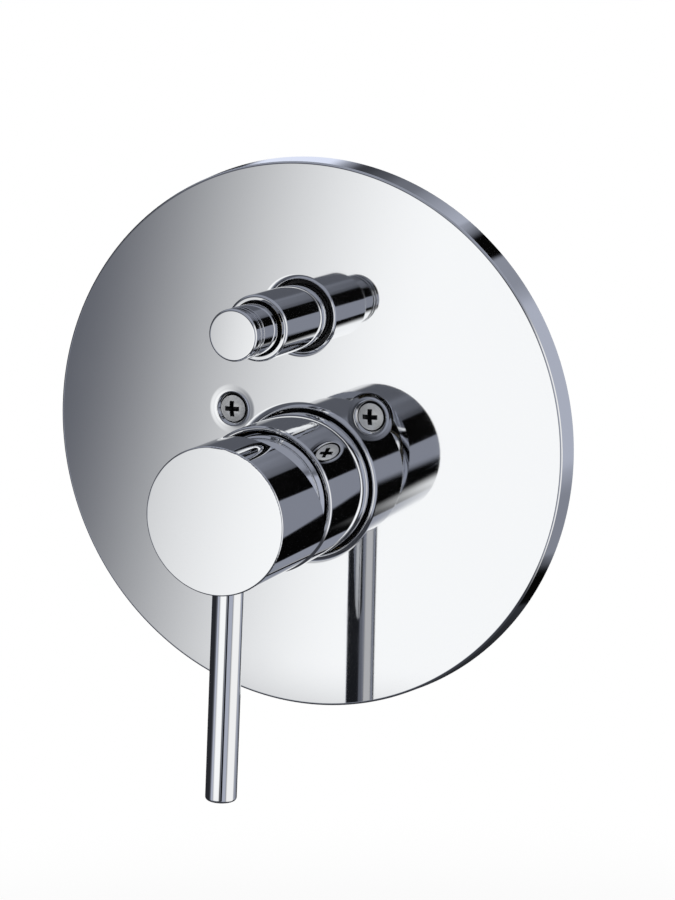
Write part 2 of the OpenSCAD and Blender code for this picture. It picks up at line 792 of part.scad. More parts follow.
module disc_tabs(w, h0, h1) {
  for (side = [-1, 1]) intersection() {
    bar(moving_r, h0, h1, 0, moving_z);
    translate([side * moving_r, 0, moving_z]) block(tab_l + w - tab_w, h0, h1, -w / 2, w / 2);
  }
}

module moving_disc() color("ivory") {
  swung() difference() {
    bar(moving_r, moving_h0, moving_h1, 0, moving_z);
    bar(pocket_r, moving_h0 - cut, moving_h0 + pocket_depth, 0, pocket_z);
    bar(pocket_top_r, moving_h0 - cut, moving_h0 + pocket_depth, 0, pocket_top_z);
    disc_tabs(tab_w + 2 * seat_gap, moving_h1 - tab_h - seat_gap, moving_h1 + cut);
  }
}

module disc_carrier() color("lightsteelblue") {
  swung() difference() {
    union() {
      bar(moving_r, carrier_h0, carrier_h1, 0, moving_z);
      disc_tabs(tab_w, moving_h1 - tab_h, carrier_h0 + cut);
    }
    bar(socket_r, ball_h - ball_r - run_gap * 4, carrier_h1 + cut);
  }
}

module cartridge_rotor() color("gainsboro") {
  swung() difference() {
    union() {
      bar(inner_r - free_gap, rotor_h0, rotor_h1);
      bar(rotor_r, rotor_h0, housing_h1 - free_gap);
    }
    block(slot_w, rotor_h0 - cut, housing_h1, -slot_z, slot_z);
    translate([-far / 2, -pin_h, 0]) rotate([0, 90, 0]) cylinder(r = pin_r + run_gap, h = far);
  }
}

// The square of the stem reaches this far behind the pin, and its neck is thinner than the ball
stem_heel = 4;
stem_neck = 0.7;

module cartridge_stem() color("peru") {
  swung() difference() {
    union() {
      block(stem_w, pin_h - stem_heel, stem_end_h, -stem_w / 2, stem_w / 2);
      bar(ball_r - stem_neck, ball_h, pin_h);
      translate([0, -ball_h, 0]) sphere(ball_r);
    }
    translate([-far / 2, -pin_h, 0]) rotate([0, 90, 0]) cylinder(r = pin_r + run_gap, h = far);
  }
}

module stem_pin() color("silver") {
  pin_l = 2 * (rotor_r - free_gap);
  swung() translate([-pin_l / 2, -pin_h, 0]) rotate([0, 90, 0]) cylinder(r = pin_r, h = pin_l);
}

module cartridge_nut() color("darkkhaki") {
  difference() {
    union() {
      bar(nut_r, shoulder_h + seat_gap, neck_h + free_gap + cut);
      hex_bar(nut_flats, neck_h + free_gap, neck_h + free_gap + nut_hex_h);
    }
    bar(cart_collar_r + free_gap, shoulder_h - cut, far);
  }
}

// Dome cover and control sleeve

// The rolled bead round the cover's opening, and the fine line turned near its rim
bead_r = 0.7;
bead_lap = 0.1;
line_r = 0.4;
line_in = 1.4;
line_rise = 0.15;

module dome_cover() color("silver") {
  rim_h = plate_h + dome_rim_reach;
  top_h = plate_h + dome_top_reach;
  bore_r = neck_r + seat_gap;
  wall = dome_r - bore_r;
  // Sphere through the skirt's top edge and the edge of the opening
  centre_h = (top_h + rim_h - (dome_r * dome_r - dome_open * dome_open) / (top_h - rim_h)) / 2;
  ball = sqrt(dome_open * dome_open + pow(top_h - centre_h, 2));
  line_x = dome_r - line_in;
  turned() difference() {
    union() {
      translate([bore_r, rim_h - dome_skirt]) square([wall, dome_skirt]);
      intersection() {
        difference() {
          translate([0, centre_h]) circle(ball, $fn = 144);
          translate([0, centre_h]) circle(ball - wall, $fn = 144);
        }
        translate([dome_open, rim_h - wall]) square([dome_r - dome_open, far]);
      }
      translate([dome_open + bead_r - bead_lap, top_h - bead_r / 2]) circle(bead_r, $fn = 32);
    }
    translate([line_x, centre_h + sqrt(ball * ball - line_x * line_x) + line_rise]) circle(line_r, $fn = 24);
  }
}

module sleeve_ring() color("black") {
  o_ring((ring_floor_r + sleeve_bore) / 2, ring_section, ring_h);
}

// Rounding of a sleeve's inner front edge
bore_edge = 0.35;

// A sleeve with a rounded front, its mouth, and a thinner neck that begins inside the plate's collar
module sleeve_2d(r, bore, neck, front, back, neck_l, mouth_r, lip) {
  difference() {
    union() {
      translate([bore, plate_h - back]) square([r - bore, front + back]);
      translate([mouth_r, plate_h + front - lip]) square([r - mouth_r, lip]);
      translate([bore, plate_h - neck_l]) square([neck - bore, neck_l]);
    }
    corner(r, plate_h + front, -1, -1, sleeve_edge);
    corner(mouth_r, plate_h + front, 1, -1, bore_edge);
  }
}

module control_sleeve() color("gainsboro") {
  turned() sleeve_2d(sleeve_r, sleeve_bore, sleeve_neck_r, sleeve_front, sleeve_back,
                     sleeve_neck, sleeve_bore, sleeve_edge);
}

// Rounding of a neck seal's front edge
seal_edge = 0.5;

// A soft ring behind a sleeve's shoulder, between its neck and the plate's collar
module neck_seal_2d(neck, collar, back) {
  r1 = collar - seat_gap;
  h0 = collar_end_h + free_gap;
  h1 = plate_h - back - free_gap;
  difference() {
    translate([neck + seat_gap, h0]) square([r1 - neck - seat_gap, h1 - h0]);
    corner(r1, h1, -1, -1, seal_edge);
  }
}

module control_seal() color("black") {
  turned() neck_seal_2d(sleeve_neck_r, collar_r, sleeve_back);
}

// Lever

module lever_hub() color("gainsboro") {
  roof_h = hub_h - hub_face;
  // The cut plane's reach at the far ends of the cutting shape
  cut_h = plate_h + cut_reach;
  cut_rise = tan(cut_angle) * far / 2;
  socket_w = stem_w + 2 * seat_gap;
  difference() {
    turned() difference() {
      translate([0, hub_back_h]) square([hub_r, hub_h - hub_back_h]);
      corner(hub_r, hub_h, -1, -1, hub_edge);
    }
    // Hollow, with the boss for the stem and the block for rod and set screw left standing
    difference() {
      bar(hub_r - hub_wall, hub_back_h - cut, roof_h);
      swung() bar(boss_r, boss_h, roof_h + cut);
      swung() block(block_w, boss_h, roof_h + cut, -hub_r, 0);
    }
    swung() {
      // The cut that makes room for the tilt
      rotate([90, 0, 90]) translate([0, 0, -far / 2]) linear_extrude(far)
        polygon([[cut_rise - cut_h, -far / 2], [-cut_rise - cut_h, far / 2],
                 [far, far / 2], [far, -far / 2]]);
      block(socket_w, boss_h - cut, stem_end_h + hole_spare, -socket_w / 2, socket_w / 2);
      rod_place() rod_space();
      translate([0, -plate_h - set_reach, -hub_r - cut]) cylinder(r = set_r + seat_gap, h = hub_r);
    }
  }
}

// The rod's own line, with the rod running down from the control axis
module rod_place() {
  translate([0, -rod_h, 0]) rotate([-rod_lean, 0, 0]) children();
}

rod_top_z = -hub_r + rod_seat;

module rod_space() {
  translate([0, 0, -far]) cylinder(r = rod_r + seat_gap, h = far + rod_top_z + seat_gap);
  translate([0, 0, rod_top_z - cut])
    cylinder(r = rod_thread_r + seat_gap, h = rod_thread_l + hole_spare + cut);
}

module lever_rod() color("gainsboro") {
  swung() rod_place() rotate_extrude() difference() {
    union() {
      translate([0, -rod_l]) square([rod_r, rod_l + rod_top_z]);
      translate([0, rod_top_z - cut]) square([rod_thread_r, rod_thread_l + cut]);
    }
    corner(rod_r, -rod_l, -1, 1, rod_edge);
  }
}

// Depth of the set screw's key hole
set_key_l = 2.5;

module set_screw() color("dimgray") {
  swung() translate([0, -plate_h - set_reach, -stem_w / 2 - seat_gap]) difference() {
    translate([0, 0, -set_l]) cylinder(r = set_r, h = set_l);
    translate([0, 0, -set_l - cut]) cylinder(d = set_key / cos(30), h = set_key_l + cut, $fn = 6);
  }
}

// Diverter

// Width of the cage's four pillars and of its ring grooves
pillar_w = 7;
cage_groove_w = 2;
// Wall left between a window and the cage's end or a seat
cage_foot = 1;
cage_rim = 2;
// Distance of each ring from the cage's front end or from a seat's middle
cage_ring_in = 1.6;
cage_ring_off = 0.6;

module cage_window(h0, h1) {
  turned() translate([cage_bore - cut, h0]) square([cage_r - cage_bore + 2 * cut, h1 - h0]);
}

module diverter_cage() color("tan") {
  translate([0, 0, diverter_rise]) difference() {
    turned() difference() {
      translate([seat_r, cage_h0]) square([cage_r - seat_r, cage_h1 - cage_h0]);
      translate([seat_r - cut, cage_h0 - cut])
        square([cage_bore - seat_r + cut, rear_seat_h - seat_t - cage_h0 + cut]);
      translate([seat_r - cut, rear_seat_h]) square([cage_bore - seat_r + cut, front_seat_h - rear_seat_h]);
      translate([seat_r - cut, front_seat_h + seat_t]) square([cage_bore - seat_r + cut, far]);
      for (h = cage_ring_reaches())
        translate([cage_r - 2 * cage_ring, h - cage_groove_w / 2]) square([far, cage_groove_w]);
    }
    // Windows to the outlets and the mixed channel
    difference() {
      union() {
        cage_window(cage_h0 + cage_foot, rear_seat_h - seat_t - cage_rim);
        cage_window(rear_seat_h + cage_rim, front_seat_h - cage_rim - cage_ring_off);
        cage_window(front_seat_h + seat_t + cage_foot, outlet_pass_h + outlet_pass_r);
      }
      for (turn = [45, 135]) rotate([0, turn, 0]) block(pillar_w, 0, far, -far / 2, far / 2);
    }
  }
}

// Reaches of the three rings that seal the cage in its chamber
function cage_ring_reaches() =
  [rear_seat_h - seat_t / 2, front_seat_h + seat_t / 2 - cage_ring_off, cage_h1 - cage_ring_in];

module cage_rings() color("black") {
  for (h = cage_ring_reaches()) o_ring(cage_r - cage_ring, cage_ring - seat_gap / 2, h, 0, diverter_rise);
}

spindle_ring_r = spindle_r + spindle_ring + run_gap / 2;
div_ring_h = bonnet_tube_h0 + bonnet_tube_l / 2;
div_ring_r = div_bore - seat_gap - div_ring;
// Depth of the hollow behind the spindle's hole
bonnet_hollow = 4;
// Distance of the spindle's rings from the front end of the tube, and from each other
ring_in = 4;
ring_pitch = 4;

module diverter_bonnet() color("darkkhaki") {
  translate([0, 0, diverter_rise]) difference() {
    union() {
      bar(bonnet_r, bonnet_h0, bonnet_hex_h0 + cut);
      hex_bar(bonnet_flats, bonnet_hex_h0, bonnet_tube_h0);
      bar(bonnet_tube_r, bonnet_tube_h0 - cut, bonnet_tube_h1);
    }
    bar(spindle_r + run_gap, bonnet_h0 - cut, bonnet_tube_h1 + cut);
    // Hollow in front of the valve, and the grooves of the rings
    bar(seat_r, bonnet_h0 - cut, bonnet_h0 + bonnet_hollow);
    for (h = spindle_ring_reaches())
      washer(spindle_r, spindle_ring_r + spindle_ring + seat_gap,
             h - spindle_ring - ring_play, h + spindle_ring + ring_play);
    washer(div_ring_r - div_ring - seat_gap, far,
           div_ring_h - div_ring - ring_play, div_ring_h + div_ring + ring_play);
  }
}

// Reaches of the two rings round the spindle
function spindle_ring_reaches() = [bonnet_tube_h1 - ring_in - ring_pitch, bonnet_tube_h1 - ring_in];

module bonnet_washer() color("sienna") {
  washer(bonnet_r + seat_gap, bonnet_flats / 2, bonnet_face_h + seat_gap, bonnet_hex_h0 - seat_gap,
         0, diverter_rise);
}

module spindle_rings() color("black") {
  for (h = spindle_ring_reaches()) o_ring(spindle_ring_r, spindle_ring, h, 0, diverter_rise);
}

module diverter_ring() color("black") {
  o_ring(div_ring_r, div_ring, div_ring_h, 0, diverter_rise);
}

// The spindle's rear end carries the piston; its front end screws into the knob
tail_r = 2;
tail_end = 1.5;
clip_t = 0.8;
clip_h = piston_h0 - clip_t - seat_gap;
clip_groove = 0.5;
knob_thread_l = 8;
knob_thread_r = spindle_r - 0.6;

module diverter_spindle() color("silver") {
  translate([0, 0, diverter_rise]) difference() {
    union() {
      bar(tail_r, clip_h - tail_end, piston_h1 + cut);
      bar(spindle_r, piston_h1 + seat_gap, knob_h0 - seat_gap);
      bar(knob_thread_r, knob_h0 - cut, knob_h0 + knob_thread_l);
    }
    washer(tail_r - clip_groove, far, clip_h - seat_gap, clip_h + clip_t + seat_gap);
  }
}

// The piston's metal core, and the web that parts its two rubber rings
piston_core_r = 4.4;
piston_web = 1.2;
web_in = 0.8;

module diverter_piston() color("peru") {
  mid_h = (piston_h0 + piston_h1) / 2;
  turned(0, diverter_rise) difference() {
    union() {
      translate([0, piston_h0]) square([piston_core_r, piston_h]);
      translate([0, mid_h - piston_web / 2]) square([piston_r - web_in, piston_web]);
    }
    translate([-cut, piston_h0 - cut]) square([tail_r + seat_gap + cut, piston_h + 2 * cut]);
  }
}

module piston_rings() color("black") {
  ring_t = (piston_h - piston_web) / 2 - seat_gap;
  for (h = [piston_h0, piston_h1 - ring_t])
    washer(piston_core_r + seat_gap, piston_r, h, h + ring_t, 0, diverter_rise);
}

module piston_clip() color("silver") {
  translate([0, 0, diverter_rise]) difference() {
    bar(piston_core_r - seat_gap, clip_h, clip_h + clip_t);
    bar(tail_r - clip_groove + seat_gap, clip_h - cut, clip_h + clip_t + cut);
    block(2 * (tail_r - clip_groove), clip_h - cut, clip_h + clip_t + cut, -far, 0);
  }
}

module diverter_sleeve() color("gainsboro") {
  turned(0, diverter_rise) sleeve_2d(div_sleeve_r, div_bore, div_neck_r, div_front, div_back,
                                     div_neck, knob_r + mouth_gap, mouth_l);
}

module diverter_seal() color("black") {
  turned(0, diverter_rise) neck_seal_2d(div_neck_r, div_collar_r, div_back);
}

module diverter_knob() color("gainsboro") {
  cap_r = (knob_r * knob_r + knob_dome * knob_dome) / (2 * knob_dome);
  rim_h = knob_h1 - knob_dome;
  first_h = rim_h - knob_disc;
  turned(0, diverter_rise) difference() {
    intersection() {
      translate([0, knob_h0]) square([knob_r, knob_h1 - knob_h0]);
      translate([0, knob_h1 - cap_r]) circle(cap_r, $fn = 144);
    }
    for (i = [0, 1]) translate([knob_r - groove_depth, first_h - groove_w - i * (groove_w + groove_ridge)])
      square([far, groove_w]);
    corner(knob_r, knob_h0, -1, 1, knob_edge);
    translate([-cut, knob_h0 - cut])
      square([knob_thread_r + seat_gap + cut, knob_thread_l + hole_spare + cut]);
  }
}

valve_body();
channel_plugs();
fixing_bars();
bar_screws();
plate_posts();
cartridge_housing();
cartridge_base();
base_seals();
fixed_disc();
moving_disc();
disc_carrier();
cartridge_rotor();
cartridge_stem();
stem_pin();
cartridge_nut();
dome_cover();
sleeve_ring();
control_sleeve();
control_seal();
lever_hub();
lever_rod();
set_screw();
face_plate();
plate_gasket();
plate_screws();
diverter_cage();
cage_rings();
diverter_bonnet();
bonnet_washer();
spindle_rings();
diverter_ring();
diverter_spindle();
diverter_piston();
piston_rings();
piston_clip();
diverter_sleeve();
diverter_seal();
diverter_knob();
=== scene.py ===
"""Looks of a built-in shower control valve: finishes, fine pieces, studio and camera.

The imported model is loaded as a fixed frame. Lengths are in metres. X runs to the right, Y into the
wall and Z up. The origin lies on the control axis, in the rear plane of the fixing bars.
"""

import json
import logging
import math
from dataclasses import dataclass, field
from enum import Enum
from typing import Callable, Sequence

import bmesh
import bpy
from mathutils import Matrix, Vector


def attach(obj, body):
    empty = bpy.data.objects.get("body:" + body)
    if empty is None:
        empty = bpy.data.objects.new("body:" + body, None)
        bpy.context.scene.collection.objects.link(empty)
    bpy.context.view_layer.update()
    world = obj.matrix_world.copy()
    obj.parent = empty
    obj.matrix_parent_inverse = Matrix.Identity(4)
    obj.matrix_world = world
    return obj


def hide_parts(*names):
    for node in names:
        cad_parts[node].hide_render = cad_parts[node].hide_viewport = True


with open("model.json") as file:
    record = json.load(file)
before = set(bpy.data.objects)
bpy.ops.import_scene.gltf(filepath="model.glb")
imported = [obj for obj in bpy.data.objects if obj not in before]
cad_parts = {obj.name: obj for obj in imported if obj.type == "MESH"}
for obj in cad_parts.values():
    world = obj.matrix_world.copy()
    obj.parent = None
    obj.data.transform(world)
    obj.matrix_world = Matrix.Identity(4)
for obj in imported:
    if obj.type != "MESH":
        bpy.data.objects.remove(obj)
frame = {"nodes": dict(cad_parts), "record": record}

LOG = logging.getLogger("valve")
MM = 0.001
Colour = tuple[float, float, float]


class Axis(Enum):
    """Axis that a turned finish or a thread runs round, by the point where it crosses the X-Z plane."""

    CONTROL = (0.0, 0.0)
    DIVERTER = (0.0, 55.2)
    LEFT_SCREW = (-24.8, 23.4)
    RIGHT_SCREW = (24.8, 23.4)
    PLATE = (0.0, 15.0)


class Build:
    """Short calls for making and joining nodes in one node tree."""

    def __init__(self, tree: bpy.types.NodeTree) -> None:
        """Takes the tree that the nodes go into."""
        self.tree = tree

    def node(self, kind: str, **settings: object) -> bpy.types.Node:
        """Adds a node.

        Args:
            kind: the node's type without its ShaderNode prefix.
            settings: attributes set on the node.

        Returns:
            The new node.
        """
        made = self.tree.nodes.new("ShaderNode" + kind)
        for name, value in settings.items():
            setattr(made, name, value)
        return made

    def put(self, value: object, socket: bpy.types.NodeSocket) -> None:
        """Links an output to a socket, or sets the socket to a constant."""
        if isinstance(value, bpy.types.NodeSocket):
            self.tree.links.new(value, socket)
        else:
            socket.default_value = value

    def math(self, operation: str, *values: object, clamp: bool = False) -> bpy.types.NodeSocket:
        """Adds a Math node.

        Args:
            operation: the operation's name.
            values: its inputs, as sockets or numbers.
            clamp: whether the result is kept between 0 and 1.

        Returns:
            The result's socket.
        """
        made = self.node("Math", operation=operation, use_clamp=clamp)
        for value, socket in zip(values, made.inputs):
            self.put(value, socket)
        return made.outputs[0]

    def span(self, value: object, low: float, high: float, to_low: float = 0.0,
             to_high: float = 1.0) -> bpy.types.NodeSocket:
        """Maps a range smoothly onto another one, clamped.

        Args:
            value: the number that is mapped.
            low: where the result begins to change.
            high: where it stops.
            to_low: the result at and before low.
            to_high: the result at and after high.

        Returns:
            The result's socket.
        """
        made = self.node("MapRange", interpolation_type="SMOOTHSTEP")
        if low > high:
            low, high, to_low, to_high = high, low, to_high, to_low
        for number, socket in zip((value, low, high, to_low, to_high), made.inputs):
            self.put(number, socket)
        return made.outputs[0]

    def blend(self, factor: object, first: object, second: object) -> bpy.types.NodeSocket:
        """Mixes two colours.

        Args:
            factor: 0 for the first colour, 1 for the second.
            first: a colour or a socket.
            second: a colour or a socket.

        Returns:
            The mixed colour's socket.
        """
        made = self.node("Mix", data_type="RGBA")
        self.put(factor, made.inputs[0])
        for value, socket in ((first, made.inputs[6]), (second, made.inputs[7])):
            self.put((*value, 1.0) if isinstance(value, tuple) and len(value) == 3 else value, socket)
        return made.outputs[2]

    def noise(self, vector: object, scale: float, detail: float = 2.0,
              roughness: float = 0.5) -> bpy.types.NodeSocket:
        """Adds a noise texture.

        Args:
            vector: the coordinates' socket.
            scale: features per metre.
            detail: octaves.
            roughness: weight of the finer octaves.

        Returns:
            The noise value's socket.
        """
        made = self.node("TexNoise")
        self.put(vector, made.inputs["Vector"])
        made.inputs["Scale"].default_value = scale
        made.inputs["Detail"].default_value = detail
        made.inputs["Roughness"].default_value = roughness
        return made.outputs[0]

    def parts(self, vector: bpy.types.NodeSocket) -> list[bpy.types.NodeSocket]:
        """Splits a vector and returns its three numbers' sockets."""
        made = self.node("SeparateXYZ")
        self.put(vector, made.inputs[0])
        return list(made.outputs)


def effect(name: str, inputs: dict[str, float], outputs: dict[str, str],
           make: Callable[[Build, dict[str, bpy.types.NodeSocket]], dict[str, object]]
           ) -> bpy.types.NodeTree:
    """Builds a shader node group once.

    Args:
        name: the group's name.
        inputs: names of its number inputs, with their defaults.
        outputs: names of its outputs, with their socket types.
        make: fills the group and returns its outputs' values by name.

    Returns:
        The group.
    """
    if name in bpy.data.node_groups:
        return bpy.data.node_groups[name]
    tree = bpy.data.node_groups.new(name, "ShaderNodeTree")
    tree.interface.new_socket("Vector", in_out="INPUT", socket_type="NodeSocketVector")
    for label, value in inputs.items():
        socket = tree.interface.new_socket(label, in_out="INPUT", socket_type="NodeSocketFloat")
        socket.default_value = value
    for label, kind in outputs.items():
        tree.interface.new_socket(label, in_out="OUTPUT", socket_type=kind)
    into = tree.nodes.new("NodeGroupInput")
    out = tree.nodes.new("NodeGroupOutput")
    results = make(Build(tree), {socket.name: socket for socket in into.outputs})
    for label, value in results.items():
        tree.links.new(value, out.inputs[label])
    return tree


FLOAT = "NodeSocketFloat"


def haze_group() -> bpy.types.NodeTree:
    """Polishing haze: faint cloudy roughness, fine wiping scratches and a slow wave in the surface."""
    def make(b: Build, s: dict[str, bpy.types.NodeSocket]) -> dict[str, object]:
        """Fills the group."""
        cloud = b.noise(s["Vector"], 45.0, 3.0)
        scratch = b.noise(s["Vector"], 2600.0, 2.0)
        rough = b.math("MULTIPLY_ADD", b.span(cloud, 0.45, 0.75), s["Haze"], s["Base"])
        rough = b.math("MULTIPLY_ADD", b.span(scratch, 0.55, 0.8), s["Scratch"], rough)
        wave = b.noise(s["Vector"], 70.0, 1.0)
        return {"Roughness": rough, "Wave": wave}
    return effect("PolishHaze", {"Base": 0.03, "Haze": 0.03, "Scratch": 0.02},
                  {"Roughness": FLOAT, "Wave": FLOAT}, make)


def grain_group() -> bpy.types.NodeTree:
    """Grain of a cast, blasted or moulded surface, with its stains in the hollows."""
    def make(b: Build, s: dict[str, bpy.types.NodeSocket]) -> dict[str, object]:
        """Fills the group."""
        scaled = b.node("VectorMath", operation="SCALE")
        b.put(s["Vector"], scaled.inputs[0])
        b.put(s["Scale"], scaled.inputs["Scale"])
        fine = b.noise(scaled.outputs[0], 1.0, 4.0, 0.6)
        broad = b.noise(scaled.outputs[0], 0.06, 3.0)
        height = b.math("MULTIPLY_ADD", broad, 0.5, fine)
        return {"Height": height, "Stain": b.span(broad, 0.4, 0.68), "Fine": fine}
    return effect("SurfaceGrain", {"Scale": 900.0},
                  {"Height": FLOAT, "Stain": FLOAT, "Fine": FLOAT}, make)


def turned_group() -> bpy.types.NodeTree:
    """Marks of the lathe tool: fine rings round an axis along Y, on walls and on end faces."""
    def make(b: Build, s: dict[str, bpy.types.NodeSocket]) -> dict[str, object]:
        """Fills the group."""
        x, y, z = b.parts(s["Vector"])
        across = b.math("SUBTRACT", x, s["Centre X"])
        up = b.math("SUBTRACT", z, s["Centre Z"])
        radius = b.math("SQRT", b.math("ADD", b.math("MULTIPLY", across, across),
                                       b.math("MULTIPLY", up, up)))
        joined = b.node("CombineXYZ")
        b.put(b.math("MULTIPLY", y, s["Scale"]), joined.inputs[0])
        b.put(b.math("MULTIPLY", radius, s["Scale"]), joined.inputs[1])
        rings = b.noise(joined.outputs[0], 1.0, 3.0, 0.7)
        return {"Rings": rings, "Radius": radius}
    return effect("LatheMarks", {"Scale": 4200.0, "Centre X": 0.0, "Centre Z": 0.0},
                  {"Rings": FLOAT, "Radius": FLOAT}, make)


def thread_group() -> bpy.types.NodeTree:
    """A screw thread round an axis along Y: height of the ridge, kept inside a ring of radii."""
    def make(b: Build, s: dict[str, bpy.types.NodeSocket]) -> dict[str, object]:
        """Fills the group."""
        x, y, z = b.parts(s["Vector"])
        across = b.math("SUBTRACT", x, s["Centre X"])
        up = b.math("SUBTRACT", z, s["Centre Z"])
        radius = b.math("SQRT", b.math("ADD", b.math("MULTIPLY", across, across),
                                       b.math("MULTIPLY", up, up)))
        turn = b.math("DIVIDE", b.math("ARCTAN2", up, across), 2 * math.pi)
        along = b.math("ADD", b.math("DIVIDE", y, s["Pitch"]), turn)
        ridge = b.math("PINGPONG", along, 0.5)
        inside = b.math("MULTIPLY", b.math("GREATER_THAN", radius, s["Inner"]),
                        b.math("LESS_THAN", radius, s["Outer"]))
        length = b.math("MULTIPLY", b.math("GREATER_THAN", y, s["Start"]),
                        b.math("LESS_THAN", y, s["End"]))
        mask = b.math("MULTIPLY", inside, length)
        return {"Ridge": b.math("MULTIPLY", ridge, mask), "Mask": mask}
    return effect("ScrewThread", {"Pitch": 0.8 * MM, "Centre X": 0.0, "Centre Z": 0.0, "Inner": 0.0,
                                  "Outer": 1.0, "Start": -1.0, "End": 1.0},
                  {"Ridge": FLOAT, "Mask": FLOAT}, make)


@dataclass(frozen=True)
class Thread:
    """A cut thread that a finish shows as ridges.

    All lengths are in millimetres; start and end are places along Y.
    """

    axis: Axis
    inner: float
    outer: float
    start: float
    end: float
    pitch: float = 0.8
    turn: tuple[float, float, float] = (0.0, 0.0, 0.0)
    shift: tuple[float, float, float] = (0.0, 0.0, 0.0)


@dataclass(frozen=True)
class Finish:
    """What every finish has: a name, a colour and how rough and metallic it is."""

    name: str
    colour: Colour
    roughness: float
    metallic: float = 0.0
    specular: float = 0.5
    threads: tuple[Thread, ...] = ()

    def material(self) -> bpy.types.Material:
        """Makes the material once and returns it."""
        if self.name in bpy.data.materials:
            return bpy.data.materials[self.name]
        made = bpy.data.materials.new(self.name)
        made.use_nodes = True
        tree = made.node_tree
        shader = tree.nodes["Principled BSDF"]
        shader.inputs["Base Color"].default_value = (*self.colour, 1.0)
        shader.inputs["Roughness"].default_value = self.roughness
        shader.inputs["Metallic"].default_value = self.metallic
        shader.inputs["Specular IOR Level"].default_value = self.specular
        made.diffuse_color = (*self.colour, 1.0)
        b = Build(tree)
        place = b.node("TexCoord").outputs["Object"]
        height, distance = self.dress(b, place, shader)
        for thread in self.threads:
            ridge = self.ridges(b, place, thread)
            scale = thread.pitch * MM * 1.1
            height = b.math("MULTIPLY_ADD", ridge, scale, b.math("MULTIPLY", height, distance))
            distance = 1.0
        bump = b.node("Bump")
        bump.inputs["Strength"].default_value = 1.0
        bump.inputs["Distance"].default_value = distance
        b.put(height, bump.inputs["Height"])
        b.put(bump.outputs[0], shader.inputs["Normal"])
        return made

    def dress(self, b: Build, place: bpy.types.NodeSocket,
              shader: bpy.types.Node) -> tuple[object, float]:
        """Adds the finish's own detail.

        Args:
            b: builder for the material's tree.
            place: Object coordinates.
            shader: the Principled BSDF.

        Returns:
            Height for the bump, and its size in metres.
        """
        raise NotImplementedError

    def ridges(self, b: Build, place: bpy.types.NodeSocket, thread: Thread) -> bpy.types.NodeSocket:
        """Places a thread's ridges.

        Args:
            b: builder for the material's tree.
            place: Object coordinates.
            thread: the thread.

        Returns:
            The ridges' height, from 0 to about a half.
        """
        turned = b.node("Mapping")
        turned.inputs["Location"].default_value = tuple(v * MM for v in thread.shift)
        turned.inputs["Rotation"].default_value = thread.turn
        b.put(place, turned.inputs[0])
        group = b.node("Group")
        group.node_tree = thread_group()
        b.put(turned.outputs[0], group.inputs["Vector"])
        x, z = thread.axis.value
        for label, value in (("Pitch", thread.pitch), ("Centre X", x), ("Centre Z", z),
                             ("Inner", thread.inner), ("Outer", thread.outer),
                             ("Start", thread.start), ("End", thread.end)):
            group.inputs[label].default_value = value * MM
        return group.outputs["Ridge"]

    def use(self, b: Build, group: bpy.types.NodeTree, place: bpy.types.NodeSocket,
            **values: float) -> bpy.types.Node:
        """Places an effect's group.

        Args:
            b: builder for the material's tree.
            group: the effect.
            place: coordinates for it.
            values: its number inputs, with _ for a space.

        Returns:
            The group's node.
        """
        made = b.node("Group")
        made.node_tree = group
        b.put(place, made.inputs["Vector"])
        for label, value in values.items():
            made.inputs[label.replace("_", " ")].default_value = value
        return made


@dataclass(frozen=True)
class Chrome(Finish):
    """Polished chrome plate, with haze and the slow wave that polishing leaves.

    Where mirrored is given, the piece has that colour in other pieces' mirror images, as a painted,
    darker reflection of it.
    """

    wave: float = 0.000004
    haze: float = 0.03
    mirrored: Colour | None = None

    def dress(self, b: Build, place: bpy.types.NodeSocket,
              shader: bpy.types.Node) -> tuple[object, float]:
        """Adds haze to the roughness, the wave to the bump and the colour in mirror images."""
        haze = self.use(b, haze_group(), place, Base=self.roughness, Haze=self.haze, Scratch=0.015)
        b.put(haze.outputs["Roughness"], shader.inputs["Roughness"])
        # Painted reflection: glossy rays see the darker mirrored colour instead of the piece's own
        # colour.
        if self.mirrored:
            seen = b.node("LightPath").outputs["Is Glossy Ray"]
            b.put(b.blend(seen, self.colour, self.mirrored), shader.inputs["Base Color"])
        return haze.outputs["Wave"], self.wave


@dataclass(frozen=True)
class Dimpled(Chrome):
    """Chrome sheet with soft lips round its two screw dimples, and painted shade on their walls."""

    centre: tuple[float, float] = (24.8, 23.4)
    dip: float = 0.00007

    def dress(self, b: Build, place: bpy.types.NodeSocket,
              shader: bpy.types.Node) -> tuple[object, float]:
        """Adds the dimples' lips to the bump and paints shade on their walls, darkest on the upper right.
        """
        height, depth = super().dress(b, place, shader)
        x, _, z = b.parts(place)
        across = b.math("SUBTRACT", x, b.math("MULTIPLY", b.math("SIGN", x), self.centre[0] * MM))
        up = b.math("SUBTRACT", z, self.centre[1] * MM)
        off = b.math("SQRT", b.math("ADD", b.math("MULTIPLY", across, across),
                                    b.math("MULTIPLY", up, up)))
        # Painted shade: the ring round each screw head turns near black, most towards the upper right.
        side = b.span(b.math("ADD", across, up), -2.0 * MM, 5.0 * MM, 0.12, 1.0)
        shade = b.math("MULTIPLY", b.span(off, 5.9 * MM, 5.2 * MM), side)
        b.put(b.blend(shade, self.colour, (0.006, 0.006, 0.007)), shader.inputs["Base Color"])
        lip = b.span(off, 6.3 * MM, 8.3 * MM)
        return b.math("MULTIPLY_ADD", lip, self.dip / self.wave, height), depth


